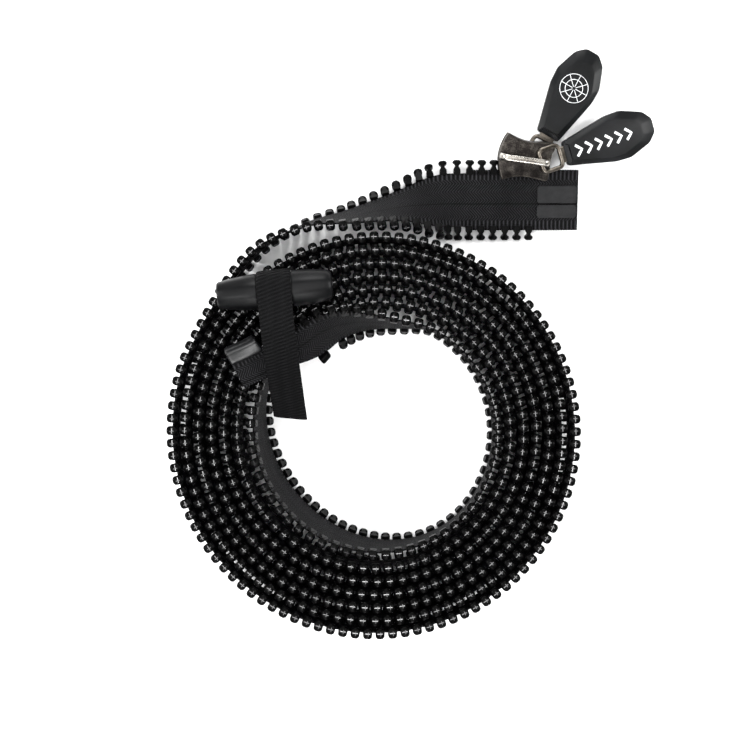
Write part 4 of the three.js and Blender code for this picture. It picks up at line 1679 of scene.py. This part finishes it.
class Zipper:
    """The whole object: works out each sub-assembly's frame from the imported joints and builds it."""

    TOGGLE_MIDDLE = np.array([-36.27, 50.78, 37.6])
    SLIDER_AT = (54.9, 15.6, -8.0)
    TOGGLE_YAW = 5.7
    FRONT_YAW, FRONT_DROOP = 25, 12
    BACK_YAW, BACK_DROOP = 69, 11
    BRIDGE_BASE = 3.6
    BACK_BRIDGE_AT = (3.8, -2.0)
    TAIL_ROWS_START, INNER_ROW_END, OUTER_ROW_END = 33.0, 58.0, 62.5
    FILM_START, FILM_END = 60.1, 74.7

    def __init__(self) -> None:
        """Finds the frame's shift and makes the finishes."""
        pins = {joint["name"]: np.array(joint.get("pos_m", (0, 0, 0))) / MM for joint in frame["joints"]}
        self.path = BandPath(shift=pins["toggle_spin"] - self.TOGGLE_MIDDLE)
        self.finishes = Finishes()
        origin, axes = self.path.tail_frame(*self.SLIDER_AT)
        self.slider_place = Local(origin, axes)
        self.toggle_place = Local(pins["toggle_spin"], about_z(self.TOGGLE_YAW))
        self.front_place = Local(pins["front_pull_swing"],
                                 axes @ about_z(self.FRONT_YAW) @ about_y(self.FRONT_DROOP))
        self.back_place = Local(pins["back_pull_swing"],
                                axes @ about_z(self.BACK_YAW) @ about_y(self.BACK_DROOP))

    def build_band(self) -> None:
        """The tape, its teeth and cords."""
        path, finishes = self.path, self.finishes
        Tape(path).build(finishes)
        top, bottom = ToothRow(path, 1), ToothRow(path, -1)
        joint = path.at_tail(self.TAIL_ROWS_START)
        top.build("teeth_top_edge", top.places(path.at_knot(1.45) + 1.5, joint), finishes,
                  ("tooth_row_top",))
        bottom.build("teeth_bottom_edge", bottom.places(path.at_knot(2.95) + 1.5, joint), finishes,
                     ("tooth_row_bottom",))
        inner_nodes = tuple(f"inner_tooth_{i}" for i in range(1, 7))
        outer_nodes = tuple(f"outer_tooth_{i}" for i in range(1, 8))
        inner, outer = path.at_tail(self.INNER_ROW_END), path.at_tail(self.OUTER_ROW_END)
        top.build("teeth_tail_inner", top.places(joint, inner), finishes, inner_nodes)
        bottom.build("teeth_tail_outer", bottom.places(joint, outer), finishes, outer_nodes)
        EdgeCord(path, -1).build("cord_outer", finishes, "edge_cord_outer")
        EdgeCord(path, 1).build("cord_inner", finishes, "edge_cord_inner")

    def build_ends(self) -> None:
        """Films at both ends, and the box, plate and stop on the inner end."""
        path, finishes = self.path, self.finishes
        start, end = path.at_tail(self.FILM_START), path.at_tail(self.FILM_END)
        Film(path, start, end, -5.5, 1.1, 0.4, 1.1).build("film_outer", finishes, "film_face_outer")
        Film(path, start, end, 1.7, 6.7, 0.4, 1.1).build("film_inner", finishes, "film_face_inner")
        Film(path, start, end, -5.7, 6.9, -1.1, -0.4).build("film_back", finishes, "film_behind")
        box_end = path.at_knot(4 / 3)
        Film(path, 0.0, box_end, -0.3, 2.7, 0.4, 1.1).build("film_inner_cut", finishes, "film_inner_end")
        BandBlock(path, 0.0, box_end, 9.6, 15.8, -2.8, 2.8).build(
            "retainer_block", finishes.box, Slot.MOULDED, "retainer_box")
        BandBlock(path, 0.0, box_end, 3.0, 9.3, 0.75, 2.35, 0.4).build(
            "retainer_cheek", finishes.box, Slot.MOULDED, "retainer_plate")
        stop_start, stop_end = path.at_knot(7 / 3), path.at_knot(8 / 3)
        low = float(Tape(path).low_edge(np.array([(stop_start + stop_end) / 2]))[0])
        BandBlock(path, stop_start, stop_end, low - 3.5, low - 0.1, -1.8, 1.8, 0.9, 3.0).build(
            "stop_block", finishes.teeth, Slot.TEETH, "end_stop")

    def build_slider(self) -> None:
        """The slider, its two bridges and its two pulls."""
        finishes, place = self.finishes, self.slider_place
        Slider().body(finishes, place)
        front = place.child(np.array([0.0, 0.0, self.BRIDGE_BASE]), np.eye(3))
        Bridge(19.0).build("bow_front", finishes, front, "bridge_front")
        under = about_z(self.BACK_YAW) @ np.diag([1.0, -1.0, -1.0])
        back = place.child(np.array([*self.BACK_BRIDGE_AT, -self.BRIDGE_BASE]), under)
        Bridge(11.0).build("bow_back", finishes, back, "bridge_back")
        pull, mark = Pull(), Mark()
        sides = (
            ("front", self.front_place, Body.FRONT_PULL, mark.chevrons(13.5, 6, 4.0, 2.1, 2.2, 0.9)),
            ("back", self.back_place, Body.BACK_PULL, mark.rosette((29.5, 0.0), 5.4, 8, 0.17)),
        )
        for side, spot, body, _ in sides:
            pull.link(f"link_{side}", finishes, spot, body, f"pull_link_{side}")
            pull.grip(f"grip_{side}", finishes, spot, body, f"pull_grip_{side}")
        for side, spot, body, strokes in sides:
            mark.build(f"print_{side}", strokes, finishes, spot, body)

    def build_toggle(self) -> None:
        """The toggle and the strap that holds it."""
        Toggle().build(self.finishes, self.toggle_place)
        Strap().build(self.finishes, self.toggle_place)


def main() -> None:
    """Builds the zipper and the studio."""
    zipper = Zipper()
    zipper.build_band()
    zipper.build_ends()
    zipper.build_slider()
    zipper.build_toggle()
    Studio().build()


if __name__ == "__main__":
    main()
